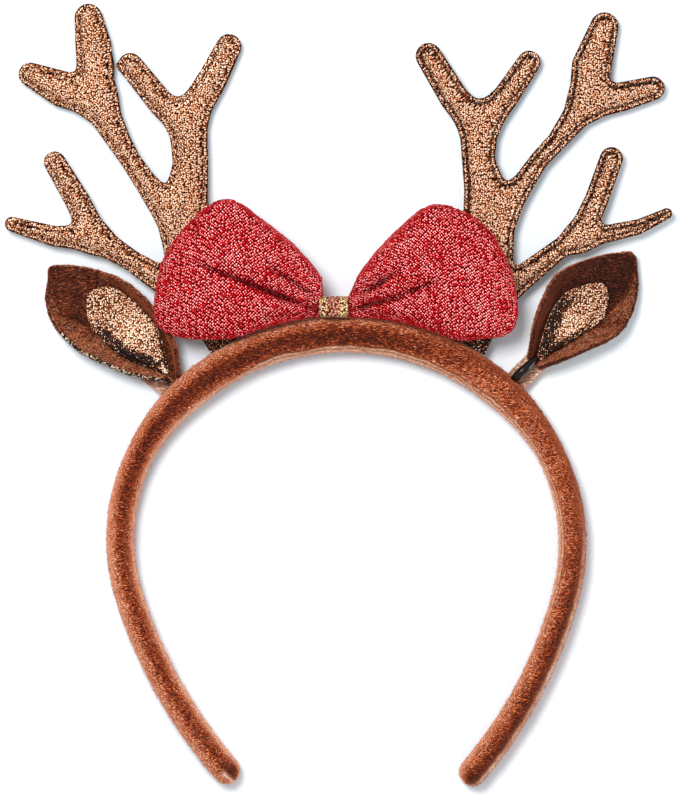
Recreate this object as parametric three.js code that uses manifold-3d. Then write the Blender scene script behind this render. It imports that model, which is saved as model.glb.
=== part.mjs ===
// Antler headband: a padded hoop wrapped in felt, which carries two sewn glitter-fabric antlers, two
// cupped felt ears with glitter linings, and a stuffed knit bow in a gold band.
// Millimetres. The headband lies on its back: X runs across it, Y from the leg tips to the antler tips,
// Z up. The origin is the middle of the crown, on the plane that the hoop rests on.

import * as THREE from "three";
import { mergeVertices } from "three/addons/utils/BufferGeometryUtils.js";
import Module from "manifold-3d";

// Clearance between pieces that touch on the real thing
const gap = 0.3;

// Points of one piece that are closer than this are one point
const weldDistance = 1e-4;

// Hoop: thickness is measured outwards from the head, depth from the surface up
const hoop = {
  crownThickness: 10.7,
  legThickness: 8.1,
  crownDepth: 12,
  legDepth: 9.8,
  taperStart: 45,
  taperEnd: 78,
  middleHeight: 0.47,
  squareness: 2.3,
  tipRound: 4.2,
  tipParts: [0.4, 0.7, 0.9, 0.985],
  stationStep: 7,
  sectionPoints: 16,
};

// Centreline of each half, from the middle of the crown to the leg's tip: the crown's arc, the
// temple's and the leg's; sweeps in degrees
const hoopArcs = {
  left: [
    { radius: 72.3, sweep: 44.6 },
    { radius: 57.2, sweep: 62.8 },
    { radius: 146.5, sweep: 25.2 },
  ],
  right: [
    { radius: 71.3, sweep: 46 },
    { radius: 59.4, sweep: 58.9 },
    { radius: 136.2, sweep: 27.2 },
  ],
};

// Lap of the felt wrap: it shows on the crown's inner front and turns to the inner face down the legs
const wrapLap = {
  crownAngle: 126,
  legAngle: 186,
  turnStart: 25,
  turnEnd: 62,
  crownStep: 0.45,
  legStep: 0.15,
  fade: 60,
};

// Spines of the antlers' branches, with half of the branch's width at each row
const leftAntler = [
  { branch: "beam", x: -37.8, y: -6.6, half: 2 },
  { branch: "beam", x: -40.8, y: 2.7, half: 4.3 },
  { branch: "beam", x: -45.9, y: 16.2, half: 6.8 },
  { branch: "beam", x: -48.3, y: 32.7, half: 8 },
  { branch: "outer", x: -54.3, y: 37.8, half: 4.5 },
  { branch: "outer", x: -60.6, y: 46.2, half: 3.3 },
  { branch: "outer", x: -64.7, y: 52.2, half: 3 },
  { branch: "outer", x: -68.3, y: 58.1, half: 3.6 },
  { branch: "outer", x: -74.8, y: 70.6, half: 5.4 },
  { branch: "outerTop", x: -74.8, y: 70.6, half: 5.4 },
  { branch: "outerTop", x: -75.9, y: 86.7, half: 5.4 },
  { branch: "outerTop", x: -77.4, y: 95.1, half: 4.2 },
  { branch: "outerSide", x: -74.8, y: 70.6, half: 5.4 },
  { branch: "outerSide", x: -85.2, y: 73.6, half: 5.4 },
  { branch: "outerSide", x: -94.8, y: 78, half: 3.6 },
  { branch: "inner", x: -48.3, y: 38.7, half: 6.7 },
  { branch: "inner", x: -46.7, y: 51, half: 5.3 },
  { branch: "inner", x: -47.5, y: 64.2, half: 5.7 },
  { branch: "innerLeft", x: -49.8, y: 64.8, half: 4.8 },
  { branch: "innerLeft", x: -55.8, y: 69.6, half: 3.9 },
  { branch: "innerLeft", x: -64.8, y: 80.9, half: 3.6 },
  { branch: "innerRight", x: -46.2, y: 66.6, half: 4.8 },
  { branch: "innerRight", x: -40.3, y: 76.2, half: 4.4 },
  { branch: "innerRight", x: -35.2, y: 86.4, half: 3.8 },
  { branch: "lower", x: -48.3, y: 12.6, half: 5 },
  { branch: "lower", x: -58.8, y: 18.4, half: 3.7 },
  { branch: "lower", x: -64.8, y: 22.4, half: 3.1 },
  { branch: "lower", x: -75.3, y: 28.9, half: 4.1 },
  { branch: "lowerUp", x: -75.3, y: 28.9, half: 4.1 },
  { branch: "lowerUp", x: -80.7, y: 40.2, half: 3.7 },
  { branch: "lowerUp", x: -87.5, y: 51.6, half: 3.3 },
  { branch: "lowerSide", x: -75.3, y: 28.7, half: 3.9 },
  { branch: "lowerSide", x: -87.3, y: 29.3, half: 3.1 },
  { branch: "lowerSide", x: -100.2, y: 33, half: 2.3 },
];
const rightAntler = [
  { branch: "beam", x: 39.2, y: -7.2, half: 2 },
  { branch: "beam", x: 41.2, y: 2.7, half: 4.3 },
  { branch: "beam", x: 43.2, y: 16.2, half: 6.6 },
  { branch: "beam", x: 43.2, y: 36, half: 7.5 },
  { branch: "outer", x: 47.1, y: 37.8, half: 5.1 },
  { branch: "outer", x: 53.7, y: 45.9, half: 3.2 },
  { branch: "outer", x: 57.9, y: 52.2, half: 2.8 },
  { branch: "outer", x: 63.6, y: 58.2, half: 3 },
  { branch: "outer", x: 72.6, y: 70.2, half: 4.8 },
  { branch: "outerTop", x: 72.4, y: 70.2, half: 5.3 },
  { branch: "outerTop", x: 73.8, y: 80.4, half: 6 },
  { branch: "outerTop", x: 77.6, y: 92.4, half: 4.3 },
  { branch: "outerSide", x: 72.6, y: 69.6, half: 4.8 },
  { branch: "outerSide", x: 82.2, y: 71.1, half: 4.4 },
  { branch: "outerSide", x: 92.2, y: 73.8, half: 3.6 },
  { branch: "inner", x: 43.2, y: 36.6, half: 7.2 },
  { branch: "inner", x: 39.7, y: 52.2, half: 4.9 },
  { branch: "inner", x: 39.9, y: 63.6, half: 5.8 },
  { branch: "innerLeft", x: 38.4, y: 64.2, half: 4.8 },
  { branch: "innerLeft", x: 32.6, y: 70.7, half: 4.3 },
  { branch: "innerLeft", x: 24.8, y: 83.6, half: 3.9 },
  { branch: "innerRight", x: 42, y: 64.5, half: 4.8 },
  { branch: "innerRight", x: 47.9, y: 71.2, half: 3.9 },
  { branch: "innerRight", x: 55, y: 81.7, half: 3.5 },
  { branch: "lower", x: 46.2, y: 12.6, half: 5.4 },
  { branch: "lower", x: 52.2, y: 16.2, half: 3.8 },
  { branch: "lower", x: 64.2, y: 25.7, half: 3 },
  { branch: "lower", x: 70, y: 29.2, half: 3.7 },
  { branch: "lowerUp", x: 70.2, y: 29.4, half: 3.9 },
  { branch: "lowerUp", x: 75.2, y: 40.2, half: 3.5 },
  { branch: "lowerUp", x: 79.7, y: 52.7, half: 3.5 },
  { branch: "lowerSide", x: 70.2, y: 28.8, half: 3.9 },
  { branch: "lowerSide", x: 78, y: 30, half: 2.6 },
  { branch: "lowerSide", x: 88, y: 32.2, half: 2.3 },
  { branch: "lowerSide", x: 96.3, y: 36.2, half: 1.7 },
];

// Heights of an antler's layers above the seam between them, by distance in from the cut edge.
// The right antler shows its topstitched side: a flat flange, the stitch groove, then the padding.
const smoothFront = [
  { inset: 0, height: 1 },
  { inset: 1, height: 1.35 },
  { inset: 2.3, height: 2.3 },
  { inset: 3.6, height: 2.7 },
];
const stitchedFront = [
  { inset: 0, height: 1 },
  { inset: 1.3, height: 1.2 },
  { inset: 1.7, height: 0.75 },
  { inset: 2.3, height: 1.7 },
  { inset: 3.6, height: 2.5 },
];
const antlerBack = [
  { inset: 0, height: -0.9 },
  { inset: 1.4, height: -1 },
  { inset: 2.6, height: -1.5 },
];
const antlerPlate = {
  rootHeight: 5.2,
  rootY: -5,
  lean: 0.029,
  crotch: 3,
  contourStep: 1.1,
  contourMargin: 10,
  chordError: 0.1,
  fewestPoints: 6,
};

// Bow: sections across it from the left end to the right one, with the section's edges in Y and its
// lowest and highest point in Z. The gathered waist is even, so that the gold band wraps it closely.
const bowWaist = { left: -7.8, right: 0.4, section: { low: 6.8, high: 9.8, back: 8.4, front: 15 } };
const bowSections = [
  { x: -57.4, low: 5.2, high: 9.6, back: 12.4, front: 13.6 },
  { x: -56.6, low: 2.4, high: 15, back: 11.5, front: 15 },
  { x: -55.2, low: 1.2, high: 22.2, back: 10.7, front: 16.2 },
  { x: -52.6, low: -0.2, high: 28.8, back: 10, front: 17.4 },
  { x: -48.6, low: -1.2, high: 32.8, back: 9.6, front: 18.5 },
  { x: -43.8, low: -1.6, high: 36.9, back: 9.4, front: 19.3 },
  { x: -39.2, low: -1.6, high: 40, back: 9.2, front: 19.8 },
  { x: -35, low: -1.4, high: 40.6, back: 9.2, front: 20 },
  { x: -31, low: -0.5, high: 39.2, back: 9.2, front: 20.2 },
  { x: -26.4, low: 1.3, high: 35.4, back: 9.2, front: 20.2 },
  { x: -21.6, low: 2.8, high: 31.2, back: 9.2, front: 20 },
  { x: -17, low: 4, high: 27.4, back: 9.2, front: 19.4 },
  { x: -13, low: 4.8, high: 23, back: 9, front: 18.5 },
  { x: -10.2, low: 5.4, high: 19.9, back: 8.8, front: 17.8 },
  { x: -8.5, low: 5.7, high: 16.4, back: 8.5, front: 16.8 },
  { x: bowWaist.left, ...bowWaist.section },
  { x: bowWaist.right, ...bowWaist.section },
  { x: 1.2, low: 5.7, high: 12.4, back: 8.5, front: 16.4 },
  { x: 3.4, low: 5.6, high: 16.4, back: 8.8, front: 17.4 },
  { x: 6, low: 5.4, high: 20.8, back: 9, front: 18.4 },
  { x: 9.6, low: 5.1, high: 25.6, back: 9.2, front: 19.2 },
  { x: 13.8, low: 4.5, high: 30, back: 9.2, front: 19.8 },
  { x: 18.3, low: 3.6, high: 34, back: 9.2, front: 20.2 },
  { x: 22.6, low: 2.5, high: 37.4, back: 9.2, front: 20.2 },
  { x: 27, low: 1.2, high: 39, back: 9.2, front: 20 },
  { x: 31.4, low: -0.5, high: 38.5, back: 9.2, front: 19.8 },
  { x: 36, low: -1.5, high: 36.4, back: 9.2, front: 19.4 },
  { x: 40.6, low: -1.4, high: 33, back: 9.4, front: 18.8 },
  { x: 44.8, low: -1.1, high: 29.4, back: 9.6, front: 18 },
  { x: 47.9, low: -0.6, high: 24.8, back: 10, front: 17 },
  { x: 50, low: 0.4, high: 19.8, back: 10.6, front: 16 },
  { x: 51.4, low: 2.2, high: 14, back: 11.4, front: 15 },
  { x: 52.1, low: 5, high: 9.4, back: 12.4, front: 13.6 },
];
const bowShape = {
  frontPoints: 15,
  backPoints: 9,
  rim: 0.36,
  edgeCrowding: 0.55,
  pillow: 2.4,
  deepestFold: 0.6,
};

// Folds that run out from the bow's waist over its front, deepest near the waist
const bowFolds = [
  { fromX: -9, fromY: 7.6, toX: -47, toY: 22.4, depth: 3, width: 1.9 },
  { fromX: -10, fromY: 11.4, toX: -21, toY: 18.6, depth: 2, width: 1.6 },
  { fromX: 1.6, fromY: 7.4, toX: 31, toY: 18, depth: 2.8, width: 1.9 },
  { fromX: 3.6, fromY: 12, toX: 24, toY: 24, depth: 2.2, width: 1.7 },
];

// Gold band round the bow's waist
const bowBand = { wall: 0.8, margin: 0.15, points: 20, squareness: 3.2 };

// Ears: leaves laid along an axis from their root. Offsets from the axis go to the upper side, towards
// the antler, and to the lower side, and a negative one is past the axis. Walls rise at both sides.
const leftEar = {
  rootX: -51.8,
  rootY: -14.4,
  heading: 142.9,
  upperTurn: -1,
  upperFold: 0.8,
  lowerFold: 0.4,
  rows: [
    { along: -0.4, upper: 2, lower: 0.2, floor: 6, upperRise: 2, lowerRise: 1 },
    { along: 2, upper: 5, lower: 1.5, floor: 5.6, upperRise: 2.6, lowerRise: 2.4 },
    { along: 6, upper: 9.1, lower: 3.5, floor: 5, upperRise: 3.4, lowerRise: 4 },
    { along: 11, upper: 11.8, lower: 6, floor: 4.5, upperRise: 3.9, lowerRise: 4.6 },
    { along: 16, upper: 13.5, lower: 7.6, floor: 4.1, upperRise: 4.1, lowerRise: 4.8 },
    { along: 22, upper: 14.9, lower: 8.9, floor: 3.7, upperRise: 4, lowerRise: 4.8 },
    { along: 28, upper: 15.4, lower: 10, floor: 3.4, upperRise: 3.4, lowerRise: 4.4 },
    { along: 33, upper: 14.8, lower: 9.7, floor: 3.1, upperRise: 2.4, lowerRise: 3.6 },
    { along: 38, upper: 13.2, lower: 8.6, floor: 2.9, upperRise: 1.4, lowerRise: 2.4 },
    { along: 42, upper: 11.6, lower: 6.8, floor: 2.8, upperRise: 0.8, lowerRise: 1.4 },
    { along: 46, upper: 9.2, lower: 3.3, floor: 2.8, upperRise: 0.5, lowerRise: 0.8 },
    { along: 49, upper: 7, lower: -2.2, floor: 2.9, upperRise: 0.3, lowerRise: 0.4 },
    { along: 50.5, upper: 5.4, lower: -4.4, floor: 3, upperRise: 0.2, lowerRise: 0.2 },
  ],
  liningRows: [
    { along: 2.6, upper: 1.6, lower: 0.7 },
    { along: 6, upper: 4.6, lower: 1.6 },
    { along: 10, upper: 8, lower: 2.7 },
    { along: 14, upper: 10.4, lower: 3.8 },
    { along: 18, upper: 11.8, lower: 4.4 },
    { along: 22, upper: 12.5, lower: 4.1 },
    { along: 26, upper: 12.9, lower: 3.3 },
    { along: 30, upper: 12.2, lower: 1.7 },
    { along: 33, upper: 11, lower: -0.6 },
    { along: 35.2, upper: 8.9, lower: -3.2 },
    { along: 36.2, upper: 7, lower: -5 },
  ],
  tab: { from: -6, to: 8.4, upper: 2.2, lower: 5.2 },
};
const rightEar = {
  rootX: 56.1,
  rootY: -9.3,
  heading: 45,
  upperTurn: 1,
  upperFold: 0.62,
  lowerFold: 0.5,
  rows: [
    { along: 0.4, upper: 2.3, lower: 1.9, floor: 5.8, upperRise: 2.4, lowerRise: 2 },
    { along: 4, upper: 4.9, lower: 3.7, floor: 5.3, upperRise: 4, lowerRise: 3.6 },
    { along: 8, upper: 7.9, lower: 5.6, floor: 4.8, upperRise: 5.2, lowerRise: 4.6 },
    { along: 12, upper: 10.3, lower: 7.2, floor: 4.4, upperRise: 5.8, lowerRise: 5.2 },
    { along: 16, upper: 11.9, lower: 8.8, floor: 4, upperRise: 5.8, lowerRise: 5.4 },
    { along: 20, upper: 13.6, lower: 10.5, floor: 3.7, upperRise: 5.2, lowerRise: 5.2 },
    { along: 24, upper: 14.4, lower: 11.5, floor: 3.4, upperRise: 4.2, lowerRise: 4.6 },
    { along: 28, upper: 13.5, lower: 11.4, floor: 3.2, upperRise: 3, lowerRise: 3.8 },
    { along: 32, upper: 11.9, lower: 10.2, floor: 3, upperRise: 2, lowerRise: 2.8 },
    { along: 36, upper: 9.9, lower: 8.1, floor: 2.9, upperRise: 1.2, lowerRise: 1.8 },
    { along: 40, upper: 7.4, lower: 5, floor: 2.9, upperRise: 0.6, lowerRise: 1 },
    { along: 43, upper: 5, lower: 1.4, floor: 3, upperRise: 0.3, lowerRise: 0.5 },
    { along: 45, upper: 3.2, lower: -1.2, floor: 3.1, upperRise: 0.2, lowerRise: 0.2 },
  ],
  liningRows: [
    { along: 2.4, upper: 0.9, lower: 0.7 },
    { along: 6, upper: 3.2, lower: 2.2 },
    { along: 10, upper: 5.3, lower: 3.6 },
    { along: 14, upper: 7.1, lower: 4.7 },
    { along: 18, upper: 8.4, lower: 5.2 },
    { along: 22, upper: 8.4, lower: 5.7 },
    { along: 25, upper: 7.5, lower: 5.5 },
    { along: 28, upper: 6, lower: 3.8 },
    { along: 30.6, upper: 4.2, lower: 1.4 },
    { along: 32.2, upper: 2.6, lower: -0.6 },
  ],
  tab: { from: -8, to: 3.2, upper: 3.5, lower: 3.4 },
};
const earCloth = {
  feltThickness: 1.6,
  liningThickness: 1.1,
  liningGap: 0.4,
  acrossPoints: 13,
  wallCurve: 1.5,
  normalReach: 0.4,
};
const earTab = { thickness: 1.4 };
const earStem = { diameter: 2.4, from: -7, to: 1.2, offset: 0.4, sides: 12 };

const felt = new THREE.MeshStandardMaterial({ color: "#8b4626", roughness: 0.95 });
const earFelt = new THREE.MeshStandardMaterial({ color: "#4e2618", roughness: 0.95 });
const tabFelt = new THREE.MeshStandardMaterial({ color: "#b56f4a", roughness: 0.95 });
const antlerGlitter = new THREE.MeshStandardMaterial({ color: "#b5805e", roughness: 0.5, metalness: 0.4 });
const liningGlitter = new THREE.MeshStandardMaterial({ color: "#cda273", roughness: 0.45, metalness: 0.5 });
const redKnit = new THREE.MeshStandardMaterial({ color: "#c81a30", roughness: 0.75 });
const goldKnit = new THREE.MeshStandardMaterial({ color: "#c79a3c", roughness: 0.45, metalness: 0.6 });
const blackCord = new THREE.MeshStandardMaterial({ color: "#17120f", roughness: 0.25 });

const wasm = await Module();
wasm.setup();

const { clamp, degToRad, lerp, smoothstep } = THREE.MathUtils;
const signedPower = (value, power) => Math.sign(value) * Math.abs(value) ** power;

// A smooth curve through a table's rows, read at any place along one of its columns
function tableCurve(rows, key) {
  const columns = Object.keys(rows[0]).filter((name) => name !== key);
  const places = rows.map((row) => row[key]);
  const values = rows.flatMap((row) => columns.map((name) => row[name]));
  const curve = new THREE.CubicInterpolant(places, values, columns.length);
  return (place) => {
    const found = curve.evaluate(place);
    return Object.fromEntries(columns.map((name, i) => [name, found[i]]));
  };
}

function signedVolume(points, triangles) {
  let sum = 0;
  for (const [a, b, c] of triangles) {
    sum += points[a].dot(new THREE.Vector3().crossVectors(points[b], points[c]));
  }
  return sum / 6;
}

// A geometry of the points and triangles, turned so that its faces point out
function closedGeometry(points, triangles) {
  const outward = signedVolume(points, triangles) > 0;
  const index = triangles.flatMap(([a, b, c]) => (outward ? [a, b, c] : [a, c, b]));
  return new THREE.BufferGeometry().setFromPoints(points).setIndex(index);
}

// A closed skin over rings of equally many points. Each end is closed by rungs between the ring's first
// and second half, which suits a thin curved section as well as a full one.
function loft(rings) {
  const count = rings[0].length;
  const points = rings.flat();
  const triangles = [];
  const quad = (a, b, c, d) => triangles.push([a, b, c], [a, c, d]);
  for (let r = 0; r + 1 < rings.length; r++) {
    for (let i = 0; i < count; i++) {
      const next = (i + 1) % count;
      quad(r * count + i, r * count + next, (r + 1) * count + next, (r + 1) * count + i);
    }
  }
  const last = (rings.length - 1) * count;
  for (let i = 0; i + 1 < count / 2; i++) {
    const across = count - 1 - i;
    quad(i, across, across - 1, i + 1);
    quad(last + i, last + i + 1, last + across - 1, last + across);
  }
  return closedGeometry(points, triangles);
}

function toSolid(geometry) {
  const bare = new THREE.BufferGeometry().setAttribute("position", geometry.getAttribute("position"));
  bare.setIndex(geometry.index);
  const merged = mergeVertices(bare, weldDistance);
  return new wasm.Manifold(
    new wasm.Mesh({
      numProp: 3,
      vertProperties: merged.getAttribute("position").array,
      triVerts: new Uint32Array(merged.index.array),
    }),
  );
}

function cutAway(geometry, tool) {
  const mesh = toSolid(geometry).subtract(toSolid(tool)).getMesh();
  return new THREE.BufferGeometry()
    .setAttribute("position", new THREE.BufferAttribute(mesh.vertProperties, 3))
    .setIndex(new THREE.BufferAttribute(mesh.triVerts, 1));
}

// Hoop

const arcsLength = (arcs) => arcs.reduce((sum, arc) => sum + arc.radius * degToRad(arc.sweep), 0);

// Place on a half's centreline at a distance from the crown, with the direction out from the head
function hoopPlace(side, distance) {
  let x = 0;
  let y = 0;
  let turned = 0;
  let left = distance;
  for (const { radius, sweep } of side < 0 ? hoopArcs.left : hoopArcs.right) {
    const turn = Math.min(left / radius, degToRad(sweep));
    x += side * radius * (Math.sin(turned + turn) - Math.sin(turned));
    y += radius * (Math.cos(turned + turn) - Math.cos(turned));
    turned += turn;
    left -= turn * radius;
  }
  const out = new THREE.Vector3(side * Math.sin(turned), Math.cos(turned), 0);
  return { centre: new THREE.Vector3(x, y, 0), out };
}

// Distances of the sections along one half: even steps, then closer ones round the tip
function hoopStations(length) {
  const straight = length - hoop.tipRound;
  const steps = Math.round(straight / hoop.stationStep);
  const even = Array.from({ length: steps + 1 }, (_, i) => (straight * i) / steps);
  const round = hoop.tipParts.map((part) => straight + part * hoop.tipRound);
  return [...even, ...round];
}

function hoopSection(side, distance, length, grow) {
  const taper = smoothstep(distance, hoop.taperStart, hoop.taperEnd);
  const halfThickness = lerp(hoop.crownThickness, hoop.legThickness, taper) / 2 + grow;
  const depth = lerp(hoop.crownDepth, hoop.legDepth, distance / length);
  const middle = depth * hoop.middleHeight;
  const halfDepth = depth - middle + grow;
  const lapTurn = smoothstep(distance, wrapLap.turnStart, wrapLap.turnEnd);
  const lapAngle = lerp(wrapLap.crownAngle, wrapLap.legAngle, lapTurn);
  const lapStep = lerp(wrapLap.crownStep, wrapLap.legStep, lapTurn);
  const intoTip = clamp((distance - (length - hoop.tipRound)) / hoop.tipRound, 0, 1);
  const tipScale = Math.sqrt(1 - intoTip ** 2);
  const { centre, out } = hoopPlace(side, distance);
  const power = 2 / hoop.squareness;
  const point = (fromLap, proud) => {
    const angle = degToRad(lapAngle - fromLap);
    const along = (halfThickness + proud) * signedPower(Math.cos(angle), power);
    const up = (halfDepth + proud) * signedPower(Math.sin(angle), power);
    const height = middle + tipScale * Math.max(up, -middle - grow);
    return centre.clone().addScaledVector(out, tipScale * along).setZ(height);
  };
  const ring = [point(0, 0)];
  for (let i = 0; i <= hoop.sectionPoints; i++) {
    const fromLap = (360 * i) / (hoop.sectionPoints + 1);
    ring.push(point(fromLap, lapStep * Math.max(0, 1 - fromLap / wrapLap.fade)));
  }
  return ring;
}

function hoopGeometry(grow = 0) {
  const half = (side, arcs) => {
    const length = arcsLength(arcs);
    return hoopStations(length).map((distance) => hoopSection(side, distance, length, grow));
  };
  const left = half(-1, hoopArcs.left).slice(1).reverse();
  return loft([...left, ...half(1, hoopArcs.right)]);
}

// Antlers

// Distance to a branch's edge, negative inside it: the nearest of its tapered strokes
function branchDistance(rows, x, y) {
  let nearest = Infinity;
  for (let i = 0; i + 1 < rows.length; i++) {
    const [a, b] = [rows[i], rows[i + 1]];
    const [dx, dy] = [b.x - a.x, b.y - a.y];
    const part = clamp(((x - a.x) * dx + (y - a.y) * dy) / (dx * dx + dy * dy), 0, 1);
    const away = Math.hypot(x - a.x - part * dx, y - a.y - part * dy);
    nearest = Math.min(nearest, away - lerp(a.half, b.half, part));
  }
  return nearest;
}

// Distance to an antler's edge, with the crotches between its branches rounded
function antlerField(table) {
  const branches = [...new Set(table.map((row) => row.branch))];
  const spines = branches.map((branch) => table.filter((row) => row.branch === branch));
  const round = antlerPlate.crotch;
  return (x, y) =>
    spines
      .map((rows) => branchDistance(rows, x, y))
      .reduce((a, b) => Math.min(a, b) - Math.max(round - Math.abs(a - b), 0) ** 2 / (4 * round));
}

// Loops where the field has a level, anticlockwise round what lies below it, walked square by square
function contourLoops(field, level, table) {
  const step = antlerPlate.contourStep;
  const margin = antlerPlate.contourMargin;
  const minX = Math.min(...table.map((row) => row.x)) - margin;
  const minY = Math.min(...table.map((row) => row.y)) - margin;
  const columns = Math.ceil((Math.max(...table.map((row) => row.x)) + margin - minX) / step);
  const rows = Math.ceil((Math.max(...table.map((row) => row.y)) + margin - minY) / step);
  const width = columns + 1;
  const value = [];
  for (let j = 0; j <= rows; j++) {
    for (let i = 0; i <= columns; i++) value.push(field(minX + i * step, minY + j * step) - level);
  }
  const corner = (k) => new THREE.Vector2(minX + (k % width) * step, minY + Math.floor(k / width) * step);
  const edgeName = (a, b) => Math.min(a, b) * 2 + (Math.abs(a - b) === 1 ? 0 : 1);
  const crossing = new Map();
  const following = new Map();
  for (let j = 0; j < rows; j++) {
    for (let i = 0; i < columns; i++) {
      const first = j * width + i;
      const round = [first, first + 1, first + width + 1, first + width];
      const leaves = [];
      const enters = [];
      round.forEach((a, k) => {
        const b = round[(k + 1) % round.length];
        if (value[a] < 0 === value[b] < 0) return;
        (value[a] < 0 ? leaves : enters).push(edgeName(a, b));
        crossing.set(edgeName(a, b), corner(a).lerp(corner(b), value[a] / (value[a] - value[b])));
      });
      leaves.forEach((edge, k) => following.set(edge, enters[k]));
    }
  }
  const loops = [];
  while (following.size) {
    const loop = [];
    let edge = following.keys().next().value;
    while (following.has(edge)) {
      loop.push(crossing.get(edge));
      const next = following.get(edge);
      following.delete(edge);
      edge = next;
    }
    loops.push(loop);
  }
  return loops;
}

// Keeps the points that hold a run of a loop within the chord error of its true line
function thinRun(points) {
  const [a, b] = [points[0], points[points.length - 1]];
  const chord = b.clone().sub(a);
  const offsets = points.map((p) => Math.abs(chord.cross(p.clone().sub(a))) / chord.length());
  const worst = offsets.indexOf(Math.max(...offsets));
  if (offsets[worst] < antlerPlate.chordError) return [a];
  return [...thinRun(points.slice(0, worst + 1)), ...thinRun(points.slice(worst))];
}

function thinLoop(points) {
  const distances = points.map((p) => p.distanceTo(points[0]));
  const far = distances.indexOf(Math.max(...distances));
  return [...thinRun(points.slice(0, far + 1)), ...thinRun([...points.slice(far), points[0]])];
}

function isInside(loop, point) {
  let inside = false;
  loop.forEach((a, i) => {
    const b = loop[(i + 1) % loop.length];
    const crosses = a.y > point.y !== b.y > point.y;
    if (crosses && point.x < a.x + ((point.y - a.y) * (b.x - a.x)) / (b.y - a.y)) inside = !inside;
  });
  return inside;
}

// One layer of an antler: a flat seam side, the cut edge, then the profile's steps in from the edge
function antlerLayer(table, profile) {
  const field = antlerField(table);
  const levels = profile.map(({ inset }) =>
    contourLoops(field, -inset, table)
      .map(thinLoop)
      .filter((loop) => loop.length > antlerPlate.fewestPoints),
  );
  const seamHeight = (Math.sign(profile[0].height) * gap) / 2;
  const points = [];
  const triangles = [];
  const middleOf = (y) => antlerPlate.rootHeight - antlerPlate.lean * (y - antlerPlate.rootY);
  const place = (p, height) =>
    points.push(new THREE.Vector3(p.x, p.y, middleOf(p.y) + height)) - 1;
  const placeLoops = (loops, height) => loops.map((loop) => loop.map((p) => place(p, height)));
  const cover = (outer, outerIds, holes, holeIds, flip) => {
    const ids = [...outerIds, ...holeIds.flat()];
    for (const [a, b, c] of THREE.ShapeUtils.triangulateShape(outer, holes)) {
      triangles.push(flip ? [ids[a], ids[c], ids[b]] : [ids[a], ids[b], ids[c]]);
    }
  };
  const seamIds = placeLoops(levels[0], seamHeight);
  const stepIds = levels.map((loops, k) => placeLoops(loops, profile[k].height));
  levels[0].forEach((loop, n) => {
    cover(loop, seamIds[n], [], [], true);
    loop.forEach((_, i) => {
      const next = (i + 1) % loop.length;
      const [low, lowNext] = [seamIds[n][i], seamIds[n][next]];
      const [high, highNext] = [stepIds[0][n][i], stepIds[0][n][next]];
      triangles.push([low, lowNext, highNext], [low, highNext, high]);
    });
  });
  levels.forEach((loops, k) => {
    const [nextLoops, nextIds] = [levels[k + 1] ?? [], stepIds[k + 1] ?? []];
    loops.forEach((loop, n) => {
      const lies = (_, m) => isInside(loop, nextLoops[m][0]);
      cover(loop, stepIds[k][n], nextLoops.filter(lies), nextIds.filter(lies), false);
    });
  });
  return closedGeometry(points, triangles);
}

// Bow

function foldDip(x, y) {
  return bowFolds.reduce((dip, { fromX, fromY, toX, toY, depth, width }) => {
    const [dx, dy] = [toX - fromX, toY - fromY];
    const part = clamp(((x - fromX) * dx + (y - fromY) * dy) / (dx * dx + dy * dy), 0, 1);
    const away = Math.hypot(x - fromX - part * dx, y - fromY - part * dy);
    return dip + depth * (1 - part ** 2) * Math.exp(-((away / width) ** 2));
  }, 0);
}

function bowRing({ x, low, high, back, front }) {
  const rim = lerp(back, front, bowShape.rim);
  const run = (count, height, dips) =>
    Array.from({ length: count }, (_, i) => {
      const part = i / count;
      const crowded = bowShape.edgeCrowding * Math.cos(Math.PI * part);
      const across = crowded + (1 - bowShape.edgeCrowding) * (1 - 2 * part);
      const y = lerp(low, high, (1 + across) / 2);
      const full = Math.sqrt(Math.max(0, 1 - Math.abs(across) ** bowShape.pillow));
      const dip = dips ? Math.min(foldDip(x, y), bowShape.deepestFold * full * (front - rim)) : 0;
      return new THREE.Vector3(x, y, rim + full * height - dip);
    });
  const frontRun = run(bowShape.frontPoints, front - rim, true);
  const backRun = run(bowShape.backPoints, back - rim, false);
  const mirrored = backRun.map((p) => p.setY(low + high - p.y));
  return [...frontRun, ...mirrored];
}

// Band round the bow's waist: a closed ring whose section has four corners
function bowBandGeometry() {
  const xFrom = bowWaist.left + bowBand.margin;
  const xTo = bowWaist.right - bowBand.margin;
  const { low, high, back, front } = bowWaist.section;
  const halfY = (high - low) / 2 + gap;
  const halfZ = (front - back) / 2 + gap;
  const power = 2 / bowBand.squareness;
  const corners = [
    { x: xFrom, wall: 0 },
    { x: xTo, wall: 0 },
    { x: xTo, wall: bowBand.wall },
    { x: xFrom, wall: bowBand.wall },
  ];
  const points = [];
  const triangles = [];
  for (let i = 0; i < bowBand.points; i++) {
    const angle = (2 * Math.PI * i) / bowBand.points;
    const next = (i + 1) % bowBand.points;
    corners.forEach(({ x, wall }, k) => {
      const y = (low + high) / 2 + (halfY + wall) * signedPower(Math.cos(angle), power);
      const z = (back + front) / 2 + (halfZ + wall) * signedPower(Math.sin(angle), power);
      points.push(new THREE.Vector3(x, y, z));
      const side = (k + 1) % corners.length;
      const [a, b] = [i * corners.length + k, i * corners.length + side];
      const [c, d] = [next * corners.length + side, next * corners.length + k];
      triangles.push([a, b, c], [a, c, d]);
    });
  }
  return closedGeometry(points, triangles);
}

// Ears

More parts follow.
